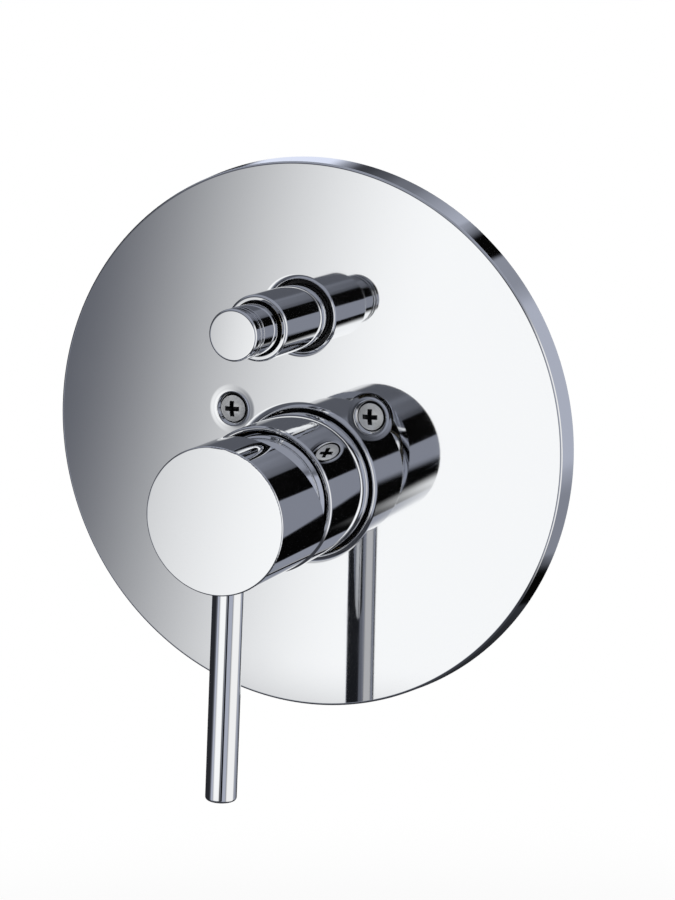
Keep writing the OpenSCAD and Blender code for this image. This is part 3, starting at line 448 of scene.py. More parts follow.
@dataclass(frozen=True)
class Cast(Finish):
    """Sand-cast and blasted metal: grainy, a little darker in its hollows."""

    grain: float = 1100.0
    depth: float = 0.00008
    stain: Colour = (0.42, 0.30, 0.13)

    def dress(self, b: Build, place: bpy.types.NodeSocket,
              shader: bpy.types.Node) -> tuple[object, float]:
        """Adds grain and stains."""
        grain = self.use(b, grain_group(), place, Scale=self.grain)
        b.put(b.blend(b.math("MULTIPLY", grain.outputs["Stain"], 0.55), self.colour, self.stain),
              shader.inputs["Base Color"])
        b.put(b.math("MULTIPLY_ADD", grain.outputs["Fine"], 0.22, self.roughness - 0.1),
              shader.inputs["Roughness"])
        return grain.outputs["Height"], self.depth


@dataclass(frozen=True)
class Turned(Finish):
    """Metal as it comes from the lathe, with rings round one axis."""

    axis: Axis = Axis.CONTROL
    depth: float = 0.000012

    def dress(self, b: Build, place: bpy.types.NodeSocket,
              shader: bpy.types.Node) -> tuple[object, float]:
        """Adds the rings to colour, roughness and bump."""
        x, z = self.axis.value
        marks = self.use(b, turned_group(), place, Centre_X=x * MM, Centre_Z=z * MM)
        dark = tuple(c * 0.8 for c in self.colour)
        b.put(b.blend(b.span(marks.outputs["Rings"], 0.35, 0.7), dark, self.colour),
              shader.inputs["Base Color"])
        b.put(b.math("MULTIPLY_ADD", marks.outputs["Rings"], 0.2, self.roughness - 0.1),
              shader.inputs["Roughness"])
        return marks.outputs["Rings"], self.depth


@dataclass(frozen=True)
class Recessed(Turned):
    """Screw heads turned from steel, with painted shade in the cross recess and on the head's outer rim.
    """

    centres: tuple[tuple[float, float], ...] = ((-24.8, 23.4), (24.8, 23.4))
    half_length: float = 2.6
    half_width: float = 0.78
    face: float = 4.4

    def dress(self, b: Build, place: bpy.types.NodeSocket,
              shader: bpy.types.Node) -> tuple[object, float]:
        """Paints shade into the recess below the head's surface and onto the head's outer edge."""
        height, depth = super().dress(b, place, shader)
        x, y, z = b.parts(place)
        side = b.math("ABSOLUTE", x)
        across = b.math("ABSOLUTE", b.math("SUBTRACT", side, self.centres[1][0] * MM))
        up = b.math("ABSOLUTE", b.math("SUBTRACT", z, self.centres[1][1] * MM))
        bars = []
        for long, short in ((across, up), (up, across)):
            bars.append(b.math("MULTIPLY", b.math("LESS_THAN", long, self.half_length * MM),
                               b.math("LESS_THAN", short, self.half_width * MM)))
        cross = b.math("MAXIMUM", *bars)
        off = b.math("SQRT", b.math("ADD", b.math("MULTIPLY", across, across),
                                    b.math("MULTIPLY", up, up)))
        skin = b.math("MULTIPLY_ADD", b.math("MULTIPLY", off, off), 56.0, -67.92 * MM)
        # Painted shade: near black inside the cross recess and on the head beyond the face radius.
        inside = b.math("MULTIPLY", cross, b.math("GREATER_THAN", y, skin))
        source = shader.inputs["Base Color"].links[0].from_socket
        dark = b.math("MAXIMUM", inside, b.math("GREATER_THAN", off, self.face * MM))
        b.put(b.blend(dark, source, (0.004, 0.004, 0.005)), shader.inputs["Base Color"])
        return height, depth


@dataclass(frozen=True)
class Brushed(Finish):
    """Rolled or drawn metal with fine lines along X."""

    depth: float = 0.00001

    def dress(self, b: Build, place: bpy.types.NodeSocket,
              shader: bpy.types.Node) -> tuple[object, float]:
        """Adds lines along X."""
        squeeze = b.node("Mapping")
        squeeze.inputs["Scale"].default_value = (60.0, 2500.0, 2500.0)
        b.put(place, squeeze.inputs[0])
        lines = b.noise(squeeze.outputs[0], 1.0, 4.0, 0.6)
        dark = tuple(c * 0.78 for c in self.colour)
        b.put(b.blend(b.span(lines, 0.3, 0.7), dark, self.colour), shader.inputs["Base Color"])
        b.put(b.math("MULTIPLY_ADD", lines, 0.22, self.roughness - 0.1), shader.inputs["Roughness"])
        return lines, self.depth


@dataclass(frozen=True)
class Moulded(Finish):
    """Moulded plastic or rubber: a fine, even grain with faint cloudy patches."""

    grain: float = 3000.0
    depth: float = 0.00001
    patch: float = 0.12

    def dress(self, b: Build, place: bpy.types.NodeSocket,
              shader: bpy.types.Node) -> tuple[object, float]:
        """Adds grain and patches."""
        grain = self.use(b, grain_group(), place, Scale=self.grain)
        dark = tuple(c * (1 - self.patch) for c in self.colour)
        b.put(b.blend(grain.outputs["Stain"], self.colour, dark), shader.inputs["Base Color"])
        b.put(b.math("MULTIPLY_ADD", grain.outputs["Fine"], 0.16, self.roughness - 0.08),
              shader.inputs["Roughness"])
        return grain.outputs["Height"], self.depth


@dataclass(frozen=True)
class Foam(Finish):
    """Closed-cell foam: round cells with thin walls."""

    cell: float = 1300.0

    def dress(self, b: Build, place: bpy.types.NodeSocket,
              shader: bpy.types.Node) -> tuple[object, float]:
        """Adds the cells."""
        cells = b.node("TexVoronoi")
        b.put(place, cells.inputs["Vector"])
        cells.inputs["Scale"].default_value = self.cell
        wall = b.span(cells.outputs["Distance"], 0.1, 0.7)
        dark = tuple(c * 0.5 for c in self.colour)
        b.put(b.blend(wall, dark, self.colour), shader.inputs["Base Color"])
        return wall, 0.0002


class Finishes:
    """The valve's finishes, by the record's material slots and the axis a node is turned on."""

    plate = Dimpled("ChromePlate", (0.93, 0.935, 0.945), 0.03, 1.0, wave=0.000003)
    chrome = Chrome("ChromeTurned", (0.93, 0.935, 0.945), 0.02, 1.0, wave=0.000004)
    rod = Chrome("ChromeRod", (0.93, 0.935, 0.945), 0.02, 1.0, wave=0.000004,
                 mirrored=(0.47, 0.475, 0.49))
    brass = Cast("CastBrass", (0.72, 0.55, 0.29), 0.45, 1.0, threads=(
        Thread(Axis.CONTROL, 9.0, 9.7, -46.0, -31.0, 1.8, (0, 0, math.pi / 2), (-34.0, 0, 0)),
        Thread(Axis.CONTROL, 9.0, 9.7, 31.0, 46.0, 1.8, (0, 0, math.pi / 2), (-34.0, 0, 0)),
        Thread(Axis.CONTROL, 9.0, 9.7, 35.0, 50.0, 1.8, (math.pi / 2, 0, 0), (0, 0, 34.0)),
        Thread(Axis.CONTROL, 9.0, 9.7, -84.2, -69.2, 1.8, (math.pi / 2, 0, 0), (0, 0, 34.0))))
    control_brass = Turned("TurnedBrassControl", (0.80, 0.64, 0.35), 0.3, 1.0)
    diverter_brass = Turned("TurnedBrassDiverter", (0.80, 0.64, 0.35), 0.3, 1.0,
                            axis=Axis.DIVERTER)
    steel = Turned("StainlessSteel", (0.62, 0.62, 0.63), 0.28, 1.0)
    screw = Recessed("ScrewHead", (0.66, 0.67, 0.68), 0.34, 0.45, depth=0.000006, threads=(
        Thread(Axis.LEFT_SCREW, 2.0, 2.5, -61.0, -27.0, 0.8),
        Thread(Axis.RIGHT_SCREW, 2.0, 2.5, -61.0, -27.0, 0.8)))
    # Painted shade: the brass diverter bonnet is coloured near black for the shade it sits in inside the
    # sleeve.
    bonnet_painted_shade = Turned("BonnetPaintedShade", (0.03, 0.03, 0.03), 0.4, 1.0, axis=Axis.DIVERTER)
    zinc = Brushed("ZincStrip", (0.62, 0.64, 0.67), 0.38, 1.0)
    cartridge = Moulded("CartridgePlastic", (0.80, 0.80, 0.77), 0.45, patch=0.05)
    cage = Moulded("CagePlastic", (0.62, 0.58, 0.47), 0.5, patch=0.08)
    ceramic = Moulded("LappedCeramic", (0.88, 0.87, 0.82), 0.22, grain=9000.0, depth=0.000002,
                      patch=0.03)
    rubber = Moulded("SealRubber", (0.028, 0.028, 0.03), 0.5, grain=2500.0, patch=0.3)
    foam = Foam("GasketFoam", (0.10, 0.10, 0.10), 0.85)
    fibre = Cast("PressedFibre", (0.42, 0.22, 0.12), 0.75, grain=2600.0, depth=0.00005,
                 stain=(0.25, 0.12, 0.06))


SLOT_FINISH: dict[str, Finish] = {
    "chrome": Finishes.chrome, "brass": Finishes.brass, "turned_brass": Finishes.control_brass,
    "steel": Finishes.steel, "zinc": Finishes.zinc, "cartridge_plastic": Finishes.cartridge,
    "cage_plastic": Finishes.cage, "ceramic": Finishes.ceramic, "rubber": Finishes.rubber,
    "foam": Finishes.foam, "fibre": Finishes.fibre,
}
NODE_FINISH: dict[str, Finish] = {
    "face_plate": Finishes.plate, "diverter_bonnet": Finishes.bonnet_painted_shade,
    "plate_screws": Finishes.screw, "lever_rod": Finishes.rod,
    "diverter_spindle": Finishes.diverter_brass, "diverter_piston": Finishes.diverter_brass,
}


@dataclass
class Dressing:
    """Gives every CAD node its finish."""

    nodes: dict[str, bpy.types.Object]
    slots: dict[str, str]

    def dress(self) -> None:
        """Puts each node's finish in its material slots."""
        for name, obj in self.nodes.items():
            finish = NODE_FINISH.get(name, SLOT_FINISH[self.slots[name]])
            material = finish.material()
            if not obj.material_slots:
                obj.data.materials.append(material)
            for slot in obj.material_slots:
                slot.material = material
            LOG.info("%s: %s", name, finish.name)


@dataclass(frozen=True)
class Corner:
    """A corner of a turned outline: radius, reach in front of the wall and rounding, in millimetres."""

    radius: float
    reach: float
    rounding: float = 0.0


class Shape:
    """A mesh in the making: turned outlines, flat fills and the finished piece."""

    support = 0.05
    sharp = math.radians(28)

    def __init__(self, name: str, steps: int = 192) -> None:
        """Takes the piece's name and how many steps a full turn has."""
        self.name = name
        self.steps = steps
        self.mesh = bmesh.new()

    def turn(self, corners: Sequence[Corner], axis: Axis, closed: bool = True,
             smooth: int = 8) -> None:
        """Spins an outline round an axis that runs out of the wall.

        Args:
            corners: the outline, in order.
            axis: the axis it is turned round.
            closed: whether the last corner joins the first.
            smooth: segments of a rounded corner.
        """
        x, z = axis.value
        outline = bmesh.new()
        verts, rounded = [], {}
        for place, corner in enumerate(corners):
            here = Vector((corner.radius, corner.reach))
            around = [corners[place - 1], corners[(place + 1) % len(corners)]]
            spots = [here]
            if corner.rounding:
                aside = [here + (Vector((other.radius, other.reach)) - here).normalized()
                         * (corner.rounding + self.support) for other in around]
                spots = [aside[0], here, aside[1]]
            for spot in spots:
                vert = outline.verts.new(((x + spot.x) * MM, -spot.y * MM, z * MM))
                if corner.rounding and spot is here:
                    rounded.setdefault(corner.rounding, []).append(vert)
                verts.append(vert)
        for pair in zip(verts, verts[1:] + verts[:1] if closed else verts[1:]):
            outline.edges.new(pair)
        for size, chosen in rounded.items():
            bmesh.ops.bevel(outline, geom=chosen, offset=size * MM, offset_type="OFFSET",
                            segments=smooth, profile=0.5, affect="VERTICES", material=-1)
        bmesh.ops.spin(outline, geom=outline.verts[:] + outline.edges[:], cent=(x * MM, 0, z * MM),
                       axis=(0, 1, 0), dvec=(0, 0, 0), angle=2 * math.pi, steps=self.steps,
                       use_merge=True, use_normal_flip=False, use_duplicate=False)
        bmesh.ops.remove_doubles(outline, verts=outline.verts, dist=0.0001 * MM)
        self.take(outline)

    def take(self, other: bmesh.types.BMesh) -> None:
        """Adds another mesh to this one and frees it."""
        carrier = bpy.data.meshes.new("carrier")
        other.to_mesh(carrier)
        other.free()
        self.mesh.from_mesh(carrier)
        bpy.data.meshes.remove(carrier)

    def fill(self, reach: float) -> None:
        """Closes the open rings at one reach with a flat face that leaves the rings inside it open."""
        rings = [edge for edge in self.mesh.edges if edge.is_boundary
                 and all(abs(vert.co.y + reach * MM) < 0.001 * MM for vert in edge.verts)]
        bmesh.ops.triangle_fill(self.mesh, use_beauty=True, use_dissolve=False, edges=rings,
                                normal=(0, -1, 0))

    def finish(self, stands_for: str, material: bpy.types.Material, slot: str
               ) -> bpy.types.Object:
        """Closes the mesh and makes it the piece that stands for a CAD node.

        Args:
            stands_for: the node.
            material: the piece's material.
            slot: the record's material slot; not used.

        Returns:
            The piece.
        """
        bmesh.ops.recalc_face_normals(self.mesh, faces=self.mesh.faces)
        for face in self.mesh.faces:
            face.smooth = True
        for edge in self.mesh.edges:
            edge.smooth = edge.calc_face_angle(0.0) < self.sharp
        mesh = bpy.data.meshes.new(self.name)
        open_edges = sum(1 for edge in self.mesh.edges if not edge.is_manifold)
        self.mesh.to_mesh(mesh)
        self.mesh.free()
        mesh.materials.append(material)
        piece = bpy.data.objects.new(self.name, mesh)
        bpy.context.scene.collection.objects.link(piece)
        body = next(name for name, held in frame["record"]["behaviour"]["bodies"].items()
                    if stands_for in held)
        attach(piece, body)
        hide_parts(stands_for)
        LOG.info("%s: %d faces, %d open edges, on %s", self.name, len(mesh.polygons), open_edges,
                 body)
        return piece


@dataclass
class FacePlate:
    """The pressed face plate: flat front, turned-back rim, rolled collars and screw dimples."""

    front: float = 67.0
    sheet: float = 1.2
    rim_radius: float = 90.0
    rim_flare: float = 0.9
    rim_back: float = 58.2
    edge: float = 0.72
    collar_end: float = 61.0
    margin: float = 0.1

    def rim(self, shape: Shape) -> None:
        """Turns the rim, from the front's flat round its rear edge to the back's flat."""
        inner = self.rim_radius - self.sheet
        back = self.front - self.sheet
        shape.turn((
            Corner(self.rim_radius - self.edge - 0.5, self.front),
            Corner(self.rim_radius - 0.08, self.front, self.edge),
            Corner(self.rim_radius + self.rim_flare, self.rim_back, 0.25),
            Corner(inner + self.rim_flare, self.rim_back, 0.25),
            Corner(inner, back, self.edge),
            Corner(inner - self.edge - 0.5, back)),
            Axis.PLATE, closed=False, smooth=10)

    def collar(self, shape: Shape, axis: Axis, radius: float, roll: float) -> None:
        """Turns a collar that is rolled in round a sleeve.

        Args:
            shape: the plate in the making.
            axis: the sleeve's axis.
            radius: the collar's clear radius.
            roll: radius of the roll.
        """
        back = self.front - self.sheet
        shape.turn((
            Corner(radius + roll + self.margin, self.front),
            Corner(radius, self.front, roll),
            Corner(radius, self.collar_end, 0.2),
            Corner(radius + self.sheet, self.collar_end, 0.2),
            Corner(radius + self.sheet, back, roll - self.sheet),
            Corner(radius + roll + self.margin, back)), axis, closed=False, smooth=16)

    def dimple(self, shape: Shape, axis: Axis) -> None:
        """Turns the dimple that a plate screw sits in."""
        back = self.front - self.sheet
        shape.turn((
            Corner(6.83, self.front),
            Corner(6.3, self.front, 0.45),
            Corner(5.46, self.front - 0.126, 0.38),
            Corner(2.7, self.front - 2.886, 0.1),
            Corner(2.7, self.front - 3.486),
            Corner(4.5, self.front - 3.486),
            Corner(6.2, back - 0.586),
            Corner(6.83, back)), axis, closed=False, smooth=12)

    def build(self) -> bpy.types.Object:
        """Builds the plate and puts it in the place of its CAD node."""
        shape = Shape("plate_pressing", steps=288)
        self.rim(shape)
        shape.steps = 192
        self.collar(shape, Axis.CONTROL, 24.25, 2.8)
        self.collar(shape, Axis.DIVERTER, 11.6, 2.0)
        shape.steps = 96
        self.dimple(shape, Axis.LEFT_SCREW)
        self.dimple(shape, Axis.RIGHT_SCREW)
        shape.fill(self.front)
        shape.fill(self.front - self.sheet)
        return shape.finish("face_plate", Finishes.plate.material(), "chrome")


@dataclass
class Sleeves:
    """The chrome tubes round the control and round the diverter."""

    front: float = 67.0
    shoulder: float = 3.4
    edge: float = 0.9
    mouth_edge: float = 0.35

    def control(self) -> bpy.types.Object:
        """Turns the control sleeve."""
        shape = Shape("control_tube")
        end, back = self.front + 29.1, self.front - self.shoulder
        shape.turn((
            Corner(22.4, 60.0), Corner(23.1, 60.0), Corner(23.1, back), Corner(23.9, back, 0.15),
            Corner(23.9, end, self.edge), Corner(22.4, end, self.mouth_edge)), Axis.CONTROL,
            smooth=10)
        return shape.finish("control_sleeve", Finishes.chrome.material(), "chrome")

    def diverter(self) -> bpy.types.Object:
        """Turns the diverter sleeve, whose mouth has a lip round the knob."""
        shape = Shape("diverter_tube", steps=128)
        end, back = self.front + 30.8, self.front - self.shoulder
        shape.turn((
            Corner(9.3, 60.5), Corner(10.0, 60.5), Corner(10.0, back), Corner(10.6, back, 0.15),
            Corner(10.6, end, self.edge), Corner(8.7, end, self.mouth_edge),
            Corner(8.7, end - 1.5), Corner(9.3, end - 1.5)), Axis.DIVERTER, smooth=10)
        return shape.finish("diverter_sleeve", Finishes.chrome.material(), "chrome")

    def build(self) -> None:
        """Builds both sleeves."""
        self.control()
        self.diverter()


@dataclass
class Knob:
    """The diverter's pull knob: nearly flat face, two grip grooves and a threaded hole behind."""

    radius: float = 8.2
    face: float = 114.4
    back: float = 99.0
    dome: float = 0.05
    disc: float = 2.6
    groove: float = 1.2
    groove_depth: float = 0.8
    ridge: float = 0.9
    hole: float = 2.45
    hole_depth: float = 9.0

    def face_corners(self) -> list[Corner]:
        """Returns the corners of the shallow dome, from its middle outwards."""
        return [Corner(self.radius * part, self.face - self.dome * part * part)
                for part in (0.0, 0.15, 0.3, 0.45, 0.6, 0.75, 0.88)]

    def build(self) -> bpy.types.Object:
        """Turns the knob."""
        shape = Shape("pull_knob", steps=128)
        floor = self.radius - self.groove_depth
        corners = self.face_corners() + [Corner(self.radius, self.face - self.dome, 0.75)]
        reach = self.face - self.dome - self.disc
        for _ in range(2):
            corners += [Corner(self.radius, reach, 0.12), Corner(floor, reach),
                        Corner(floor, reach - self.groove),
                        Corner(self.radius, reach - self.groove, 0.12)]
            reach -= self.groove + self.ridge
        corners += [Corner(self.radius, self.back, 0.4), Corner(self.hole, self.back, 0.2),
                    Corner(self.hole, self.back + self.hole_depth),
                    Corner(0.0, self.back + self.hole_depth)]
        shape.turn(corners, Axis.DIVERTER, closed=False, smooth=6)
        return shape.finish("diverter_knob", Finishes.chrome.material(), "chrome")


@dataclass
class Facets:
    """Merges a CAD node's triangles and gives its rounded surfaces clean shading."""

    names: tuple[str, ...] = ("lever_hub", "lever_rod", "dome_cover", "plate_screws",
                              "control_seal", "diverter_seal")
    corner: float = math.radians(28)

    def build(self) -> None:
        """Adds the modifiers to each node."""
        for name in self.names:
            node = frame["nodes"][name]
            weld = node.modifiers.new("weld", "WELD")
            weld.merge_threshold = 0.001 * MM
            split = node.modifiers.new("split", "EDGE_SPLIT")
            split.split_angle = self.corner
            normals = node.modifiers.new("normals", "WEIGHTED_NORMAL")
            normals.mode = "FACE_AREA"
            normals.weight = 60
            LOG.info("%s: shaded anew", name)


@dataclass(frozen=True)
class Panel:
    """A patch of the studio as the metal sees it, by its direction from the valve.

    Azimuth 0 looks straight out of the wall and grows to the right; angles are in degrees.
    """

    azimuth: float
    elevation: float
    half_width: float
    half_height: float
    level: Colour
    soft: float = 1.0
    turn: float = 0.0


def panel_group() -> bpy.types.NodeTree:
    """Mask of a soft-edged, turned rectangle of directions."""
    def make(b: Build, s: dict[str, bpy.types.NodeSocket]) -> dict[str, object]:
        """Fills the group."""
        azimuth, elevation, _ = b.parts(s["Vector"])
        across = b.math("WRAP", b.math("SUBTRACT", azimuth, s["Azimuth"]), 180.0, -180.0)
        up = b.math("SUBTRACT", elevation, s["Elevation"])
        cos, sin = b.math("COSINE", s["Turn"]), b.math("SINE", s["Turn"])
        along = b.math("ADD", b.math("MULTIPLY", across, cos), b.math("MULTIPLY", up, sin))
        beside = b.math("SUBTRACT", b.math("MULTIPLY", up, cos), b.math("MULTIPLY", across, sin))
        masks = []
        for value, half in ((along, s["Half Width"]), (beside, s["Half Height"])):
            edge = b.math("SUBTRACT", half, b.math("ABSOLUTE", value))
            masks.append(b.math("SMOOTH_MIN", b.math("MAXIMUM", b.math(
                "MULTIPLY_ADD", b.math("DIVIDE", edge, s["Soft"]), 0.5, 0.5), 0.0), 1.0, 0.0))
        both = b.math("MULTIPLY", masks[0], masks[1])
        return {"Mask": b.span(both, 0.0, 1.0)}
    return effect("StudioPanel", {"Azimuth": 0.0, "Elevation": 0.0, "Half Width": 10.0,
                                  "Half Height": 10.0, "Soft": 1.0, "Turn": 0.0},
                  {"Mask": FLOAT}, make)


def grey(level: float, tint: float = 0.0) -> Colour:
    """A grey by its picture value from 0 to 255, tinted towards cool lilac by tint from 0 to 1."""
    linear = ((level / 255 + 0.055) / 1.055) ** 2.4
    return (linear * (1 - 0.07 * tint), linear * (1 - 0.01 * tint), linear * (1 + 0.18 * tint))


@dataclass
class Studio:
    """White room, floor, lamps and the panels that the chrome mirrors."""

    base: Colour = grey(60, 1)
    panels: tuple[Panel, ...] = (
        # Upper part of the room, and the dark left side
        Panel(0, 62, 180, 36, grey(146, 1), 8),
        Panel(180, 36, 42, 12, grey(182, 1), 5),
        Panel(-112, -6, 74, 40, grey(42, 1), 10),
        Panel(-42, -10, 20, 30, grey(97, 1), 8),
        Panel(-44, -16, 7, 12, grey(185, 1), 6),
        Panel(-36, 20, 32, 18, grey(90, 1), 4),
        # Below the valve in front
        Panel(-4, -26, 40, 5.5, grey(146, 1), 3),
        # Right of the camera: a grey wall between two black flags, then a white one
        Panel(97.5, -8, 33, 36, grey(246), 9),
        Panel(45, -8, 15, 30, grey(174, 1), 3),
        Panel(26, -3, 8, 24, grey(136, 1), 1.0),
        Panel(12.5, -26.5, 10.5, 7, grey(4), 0.8, 0.45),
        Panel(23.5, 15.0, 9.5, 7.0, grey(4), 0.8, 2.3),
        # Behind the valve on the right, with the dark patches that the plate's rim mirrors
        Panel(147, 0, 14, 24, grey(178, 1), 5),
        Panel(158, -23, 12, 8, grey(134, 1), 4),
        Panel(160, 26, 9, 5, grey(142, 1), 3),
        Panel(-154, 15, 12, 9, grey(232, 1), 3),
        Panel(165.5, 30.3, 5.2, 1.9, grey(5), 0.8),
        Panel(169, -30.2, 6, 2, grey(5), 0.8),
    )
    wobble: float = 2.2
    floor_height: float = -0.42
    floor_radius: float = 3.0

    def world(self) -> None:
        """Builds the world: white for the camera, the panels for metal, plain light for the rest."""
        scene = bpy.context.scene
        scene.world = scene.world or bpy.data.worlds.new("Studio")
        scene.world.use_nodes = True
        tree = scene.world.node_tree
        tree.nodes.clear()
        b = Build(tree)
        toward = b.node("TexCoord").outputs["Generated"]
        x, y, z = b.parts(toward)
        azimuth = b.math("DEGREES", b.math("ARCTAN2", x, b.math("MULTIPLY", y, -1.0)))
        elevation = b.math("DEGREES", b.math("ARCSINE", z))
        angles = b.node("CombineXYZ")
        for angle, socket, seed in ((azimuth, angles.inputs[0], 5.0), (elevation, angles.inputs[1], 9.0)):
            shifted = b.node("VectorMath", operation="ADD")
            b.put(toward, shifted.inputs[0])
            shifted.inputs[1].default_value = (seed, seed, seed)
            drift = b.math("SUBTRACT", b.noise(shifted.outputs[0], 9.0, 1.0), 0.5)
            b.put(b.math("MULTIPLY_ADD", drift, 2 * self.wobble, angle), socket)
        colour: object = self.base
        for panel in self.panels:
            group = b.node("Group")
            group.node_tree = panel_group()
            b.put(angles.outputs[0], group.inputs["Vector"])
            for label, value in (("Azimuth", panel.azimuth), ("Elevation", panel.elevation),
                                 ("Half Width", panel.half_width), ("Turn", panel.turn),
                                 ("Half Height", panel.half_height), ("Soft", panel.soft)):
                group.inputs[label].default_value = value
            colour = b.blend(group.outputs["Mask"], colour, panel.level)
        path = b.node("LightPath")
        shades = []
        for shade, strength in ((colour, 1.0), ((1.0, 1.0, 1.0), 1.0), ((1.0, 1.0, 1.0), 0.75)):
            light = b.node("Background")
            b.put((*shade, 1.0) if isinstance(shade, tuple) else shade, light.inputs[0])
            light.inputs[1].default_value = strength
            shades.append(light.outputs[0])
        metal, camera, plain = shades
        first = b.node("MixShader")
        b.put(b.math("MAXIMUM", path.outputs["Is Glossy Ray"], path.outputs["Is Transmission Ray"]),
              first.inputs[0])
        b.put(plain, first.inputs[1])
        b.put(metal, first.inputs[2])
        second = b.node("MixShader")
        b.put(path.outputs["Is Camera Ray"], second.inputs[0])
        b.put(first.outputs[0], second.inputs[1])
        b.put(camera, second.inputs[2])
        out = b.node("OutputWorld")
        b.put(second.outputs[0], out.inputs[0])

    def floor(self) -> None:
        """Lays the pale floor, which fades to the white of the room away from the valve."""
        bpy.ops.mesh.primitive_circle_add(vertices=96, radius=self.floor_radius, fill_type="NGON",
                                          location=(0, 0, self.floor_height))
        disc = bpy.context.object
        disc.name = "floor"
        disc.visible_glossy = False
        material = bpy.data.materials.new("PaleFloor")
        material.use_nodes = True
        tree = material.node_tree
        b = Build(tree)
        shader = tree.nodes["Principled BSDF"]
        shader.inputs["Base Color"].default_value = (0.86, 0.86, 0.86, 1.0)
        shader.inputs["Roughness"].default_value = 0.8
        shader.inputs["Specular IOR Level"].default_value = 0.0
        away = b.node("VectorMath", operation="LENGTH")
        b.put(b.node("TexCoord").outputs["Object"], away.inputs[0])
        far = b.span(away.outputs["Value"], 0.35, 0.85)
        glow = b.node("Emission")
        glow.inputs[0].default_value = (1.0, 1.0, 1.0, 1.0)
        mixed = b.node("MixShader")
        b.put(b.math("MULTIPLY", far, b.node("LightPath").outputs["Is Camera Ray"]), mixed.inputs[0])
        b.put(shader.outputs[0], mixed.inputs[1])
        b.put(glow.outputs[0], mixed.inputs[2])
        b.put(mixed.outputs[0], tree.nodes["Material Output"].inputs[0])
        disc.data.materials.append(material)

    def card(self, name: str, reach: float, low: tuple[float, float], high: tuple[float, float]
             ) -> tuple[bpy.types.Object, Build, bpy.types.Node]:
        """Hangs an upright card in front of the valve that only metal sees.

        Args:
            name: the card's name.
            reach: its distance from the wall.
            low: its lower left corner, by X and Z.
            high: its upper right corner.

        Returns:
            The card, a builder for its material and the material's output node.
        """
        shape = bmesh.new()
        corners = [shape.verts.new((x, -reach, z)) for x, z in (
            low, (high[0], low[1]), high, (low[0], high[1]))]
        shape.faces.new(corners)
        mesh = bpy.data.meshes.new(name)
        shape.to_mesh(mesh)
        shape.free()
        card = bpy.data.objects.new(name, mesh)
        bpy.context.scene.collection.objects.link(card)
        for rays in ("camera", "diffuse", "shadow", "transmission", "volume_scatter"):
            setattr(card, "visible_" + rays, False)
        material = bpy.data.materials.new(name.title())
        material.use_nodes = True
        tree = material.node_tree
        tree.nodes.clear()
        mesh.materials.append(material)
        b = Build(tree)
        return card, b, b.node("OutputMaterial")

    def show(self, b: Build, out: bpy.types.Node, mask: object, surface: bpy.types.Node) -> None:
        """Shows a card's surface where its mask is 1 and leaves the rest clear."""
        clear, mixed = b.node("BsdfTransparent"), b.node("MixShader")
        for value, socket in zip((mask, clear.outputs[0], surface.outputs[0]), mixed.inputs):
            b.put(value, socket)
        b.put(mixed.outputs[0], out.inputs[0])

    def light_box(self) -> None:
        """Hangs the soft-edged light box in front of the valve, low and to the left."""
        _, b, out = self.card("light_box", 0.767, (-0.62, -0.45), (0.26, 0.2))
        x, _, z = b.parts(b.node("TexCoord").outputs["Object"])
        slanted = b.math("MULTIPLY_ADD", b.math("ADD", z, 0.12), -0.25, x)
        mask: object = b.span(slanted, -0.53, -0.26)
        for value, start, end in ((x, 0.2, 0.08), (z, 0.15, 0.06), (z, -0.37, -0.27)):
            mask = b.math("MULTIPLY", mask, b.span(value, start, end))
        glow = b.node("Emission")
        glow.inputs[0].default_value = (0.985, 0.995, 1.0, 1.0)
        self.show(b, out, mask, glow)

    def dark_strip(self) -> None:
        """Hangs the narrow dark strip that draws the black line down the lever's rod."""
        _, b, out = self.card("dark_strip", 0.42, (0.118, -0.26), (0.194, -0.05))
        x, _, z = b.parts(b.node("TexCoord").outputs["Object"])
        mask: object = b.span(x, 0.118, 0.128)
        for value, start, end in ((x, 0.194, 0.184), (z, -0.26, -0.2), (z, -0.05, -0.09)):
            mask = b.math("MULTIPLY", mask, b.span(value, start, end))
        dark = b.node("BsdfDiffuse")
        dark.inputs[0].default_value = (0.002, 0.002, 0.002, 1.0)
        self.show(b, out, mask, dark)

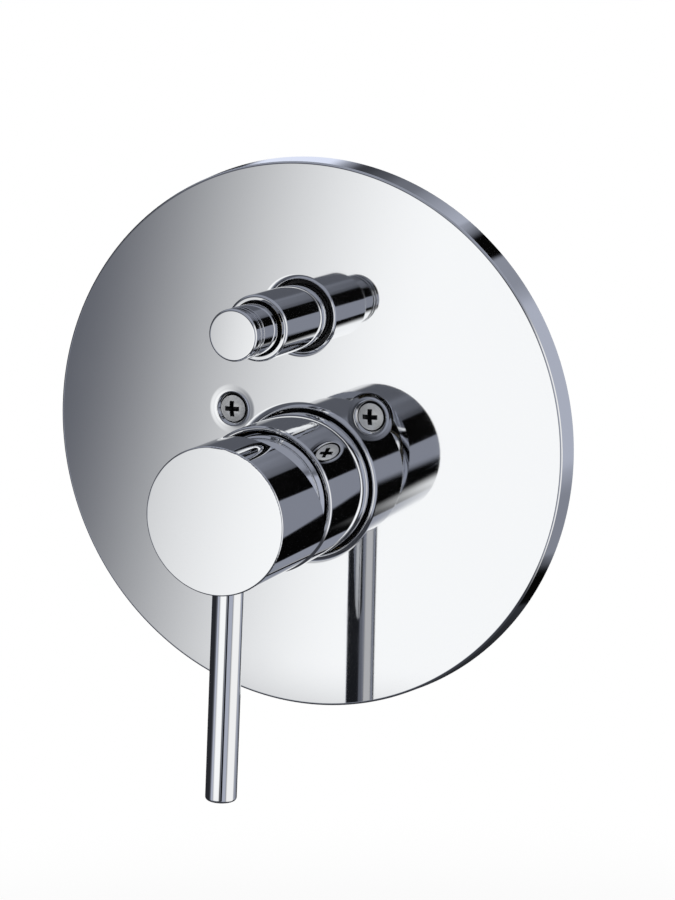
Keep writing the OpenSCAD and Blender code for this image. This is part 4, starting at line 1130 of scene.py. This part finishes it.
    def lamp(self, name: str, place: Colour, size: float, power: float) -> None:
        """Adds an area lamp that points at the valve.

        Args:
            name: the lamp's name.
            place: where it stands.
            size: length of its sides.
            power: its watts.
        """
        data = bpy.data.lights.new(name, "AREA")
        data.size = size
        data.energy = power
        obj = bpy.data.objects.new(name, data)
        obj.location = place
        obj.rotation_euler = (-Vector(place)).to_track_quat("-Z", "Y").to_euler()
        obj.visible_camera = False
        obj.visible_glossy = False
        bpy.context.scene.collection.objects.link(obj)

    def build(self) -> None:
        """Builds the world, the floor and the lamps."""
        self.world()
        self.floor()
        self.light_box()
        self.dark_strip()
        self.lamp("key_lamp", (-0.9, -1.2, 1.3), 1.0, 9.0)
        self.lamp("fill_lamp", (1.2, -0.9, 0.6), 1.2, 5.0)
        self.lamp("back_lamp", (0.2, 1.3, 0.9), 1.2, 5.0)


@dataclass
class PhotoCamera:
    """The photograph's camera, found by fitting the plate, the hub and the screws to the picture."""

    place: Vector = field(default_factory=lambda: Vector((0.347884, -0.796905, 0.162958)))
    yaw: float = 0.43004
    pitch: float = -0.18593
    roll: float = 0.0172
    lens: float = 100.813
    sensor_height: float = 36.0

    def build(self) -> bpy.types.Object:
        """Makes the camera and makes it the scene's own."""
        data = bpy.data.cameras.new("photo_camera")
        data.sensor_fit = "VERTICAL"
        data.sensor_height = self.sensor_height
        data.lens = self.lens
        data.clip_start = 0.01
        obj = bpy.data.objects.new("photo_camera", data)
        turn = (Matrix.Rotation(self.yaw, 3, "Z") @ Matrix.Rotation(self.pitch, 3, "X")
                @ Matrix.Rotation(self.roll, 3, "Y"))
        rows = [(turn[i][0], turn[i][2], -turn[i][1]) for i in range(3)]
        obj.matrix_world = Matrix.Translation(self.place) @ Matrix(rows).to_4x4()
        bpy.context.scene.collection.objects.link(obj)
        bpy.context.scene.camera = obj
        return obj


def corners(box: object) -> list[list[float]]:
    """Turns a pair of corners into plain lists."""
    return [[float(v) for v in corner] for corner in box]


def main() -> None:
    """Dresses the valve and sets up studio and camera."""
    logging.basicConfig(level=logging.INFO, format="%(name)s: %(message)s")
    scene = bpy.context.scene
    scene.view_settings.view_transform = "Standard"
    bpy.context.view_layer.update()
    slots = {part["node"]: part["material_slot"] for part in frame["record"]["subparts"]}
    Dressing(frame["nodes"], slots).dress()
    FacePlate().build()
    Sleeves().build()
    Knob().build()
    Facets().build()
    Studio().build()
    PhotoCamera().build()


if __name__ == "__main__":
    main()
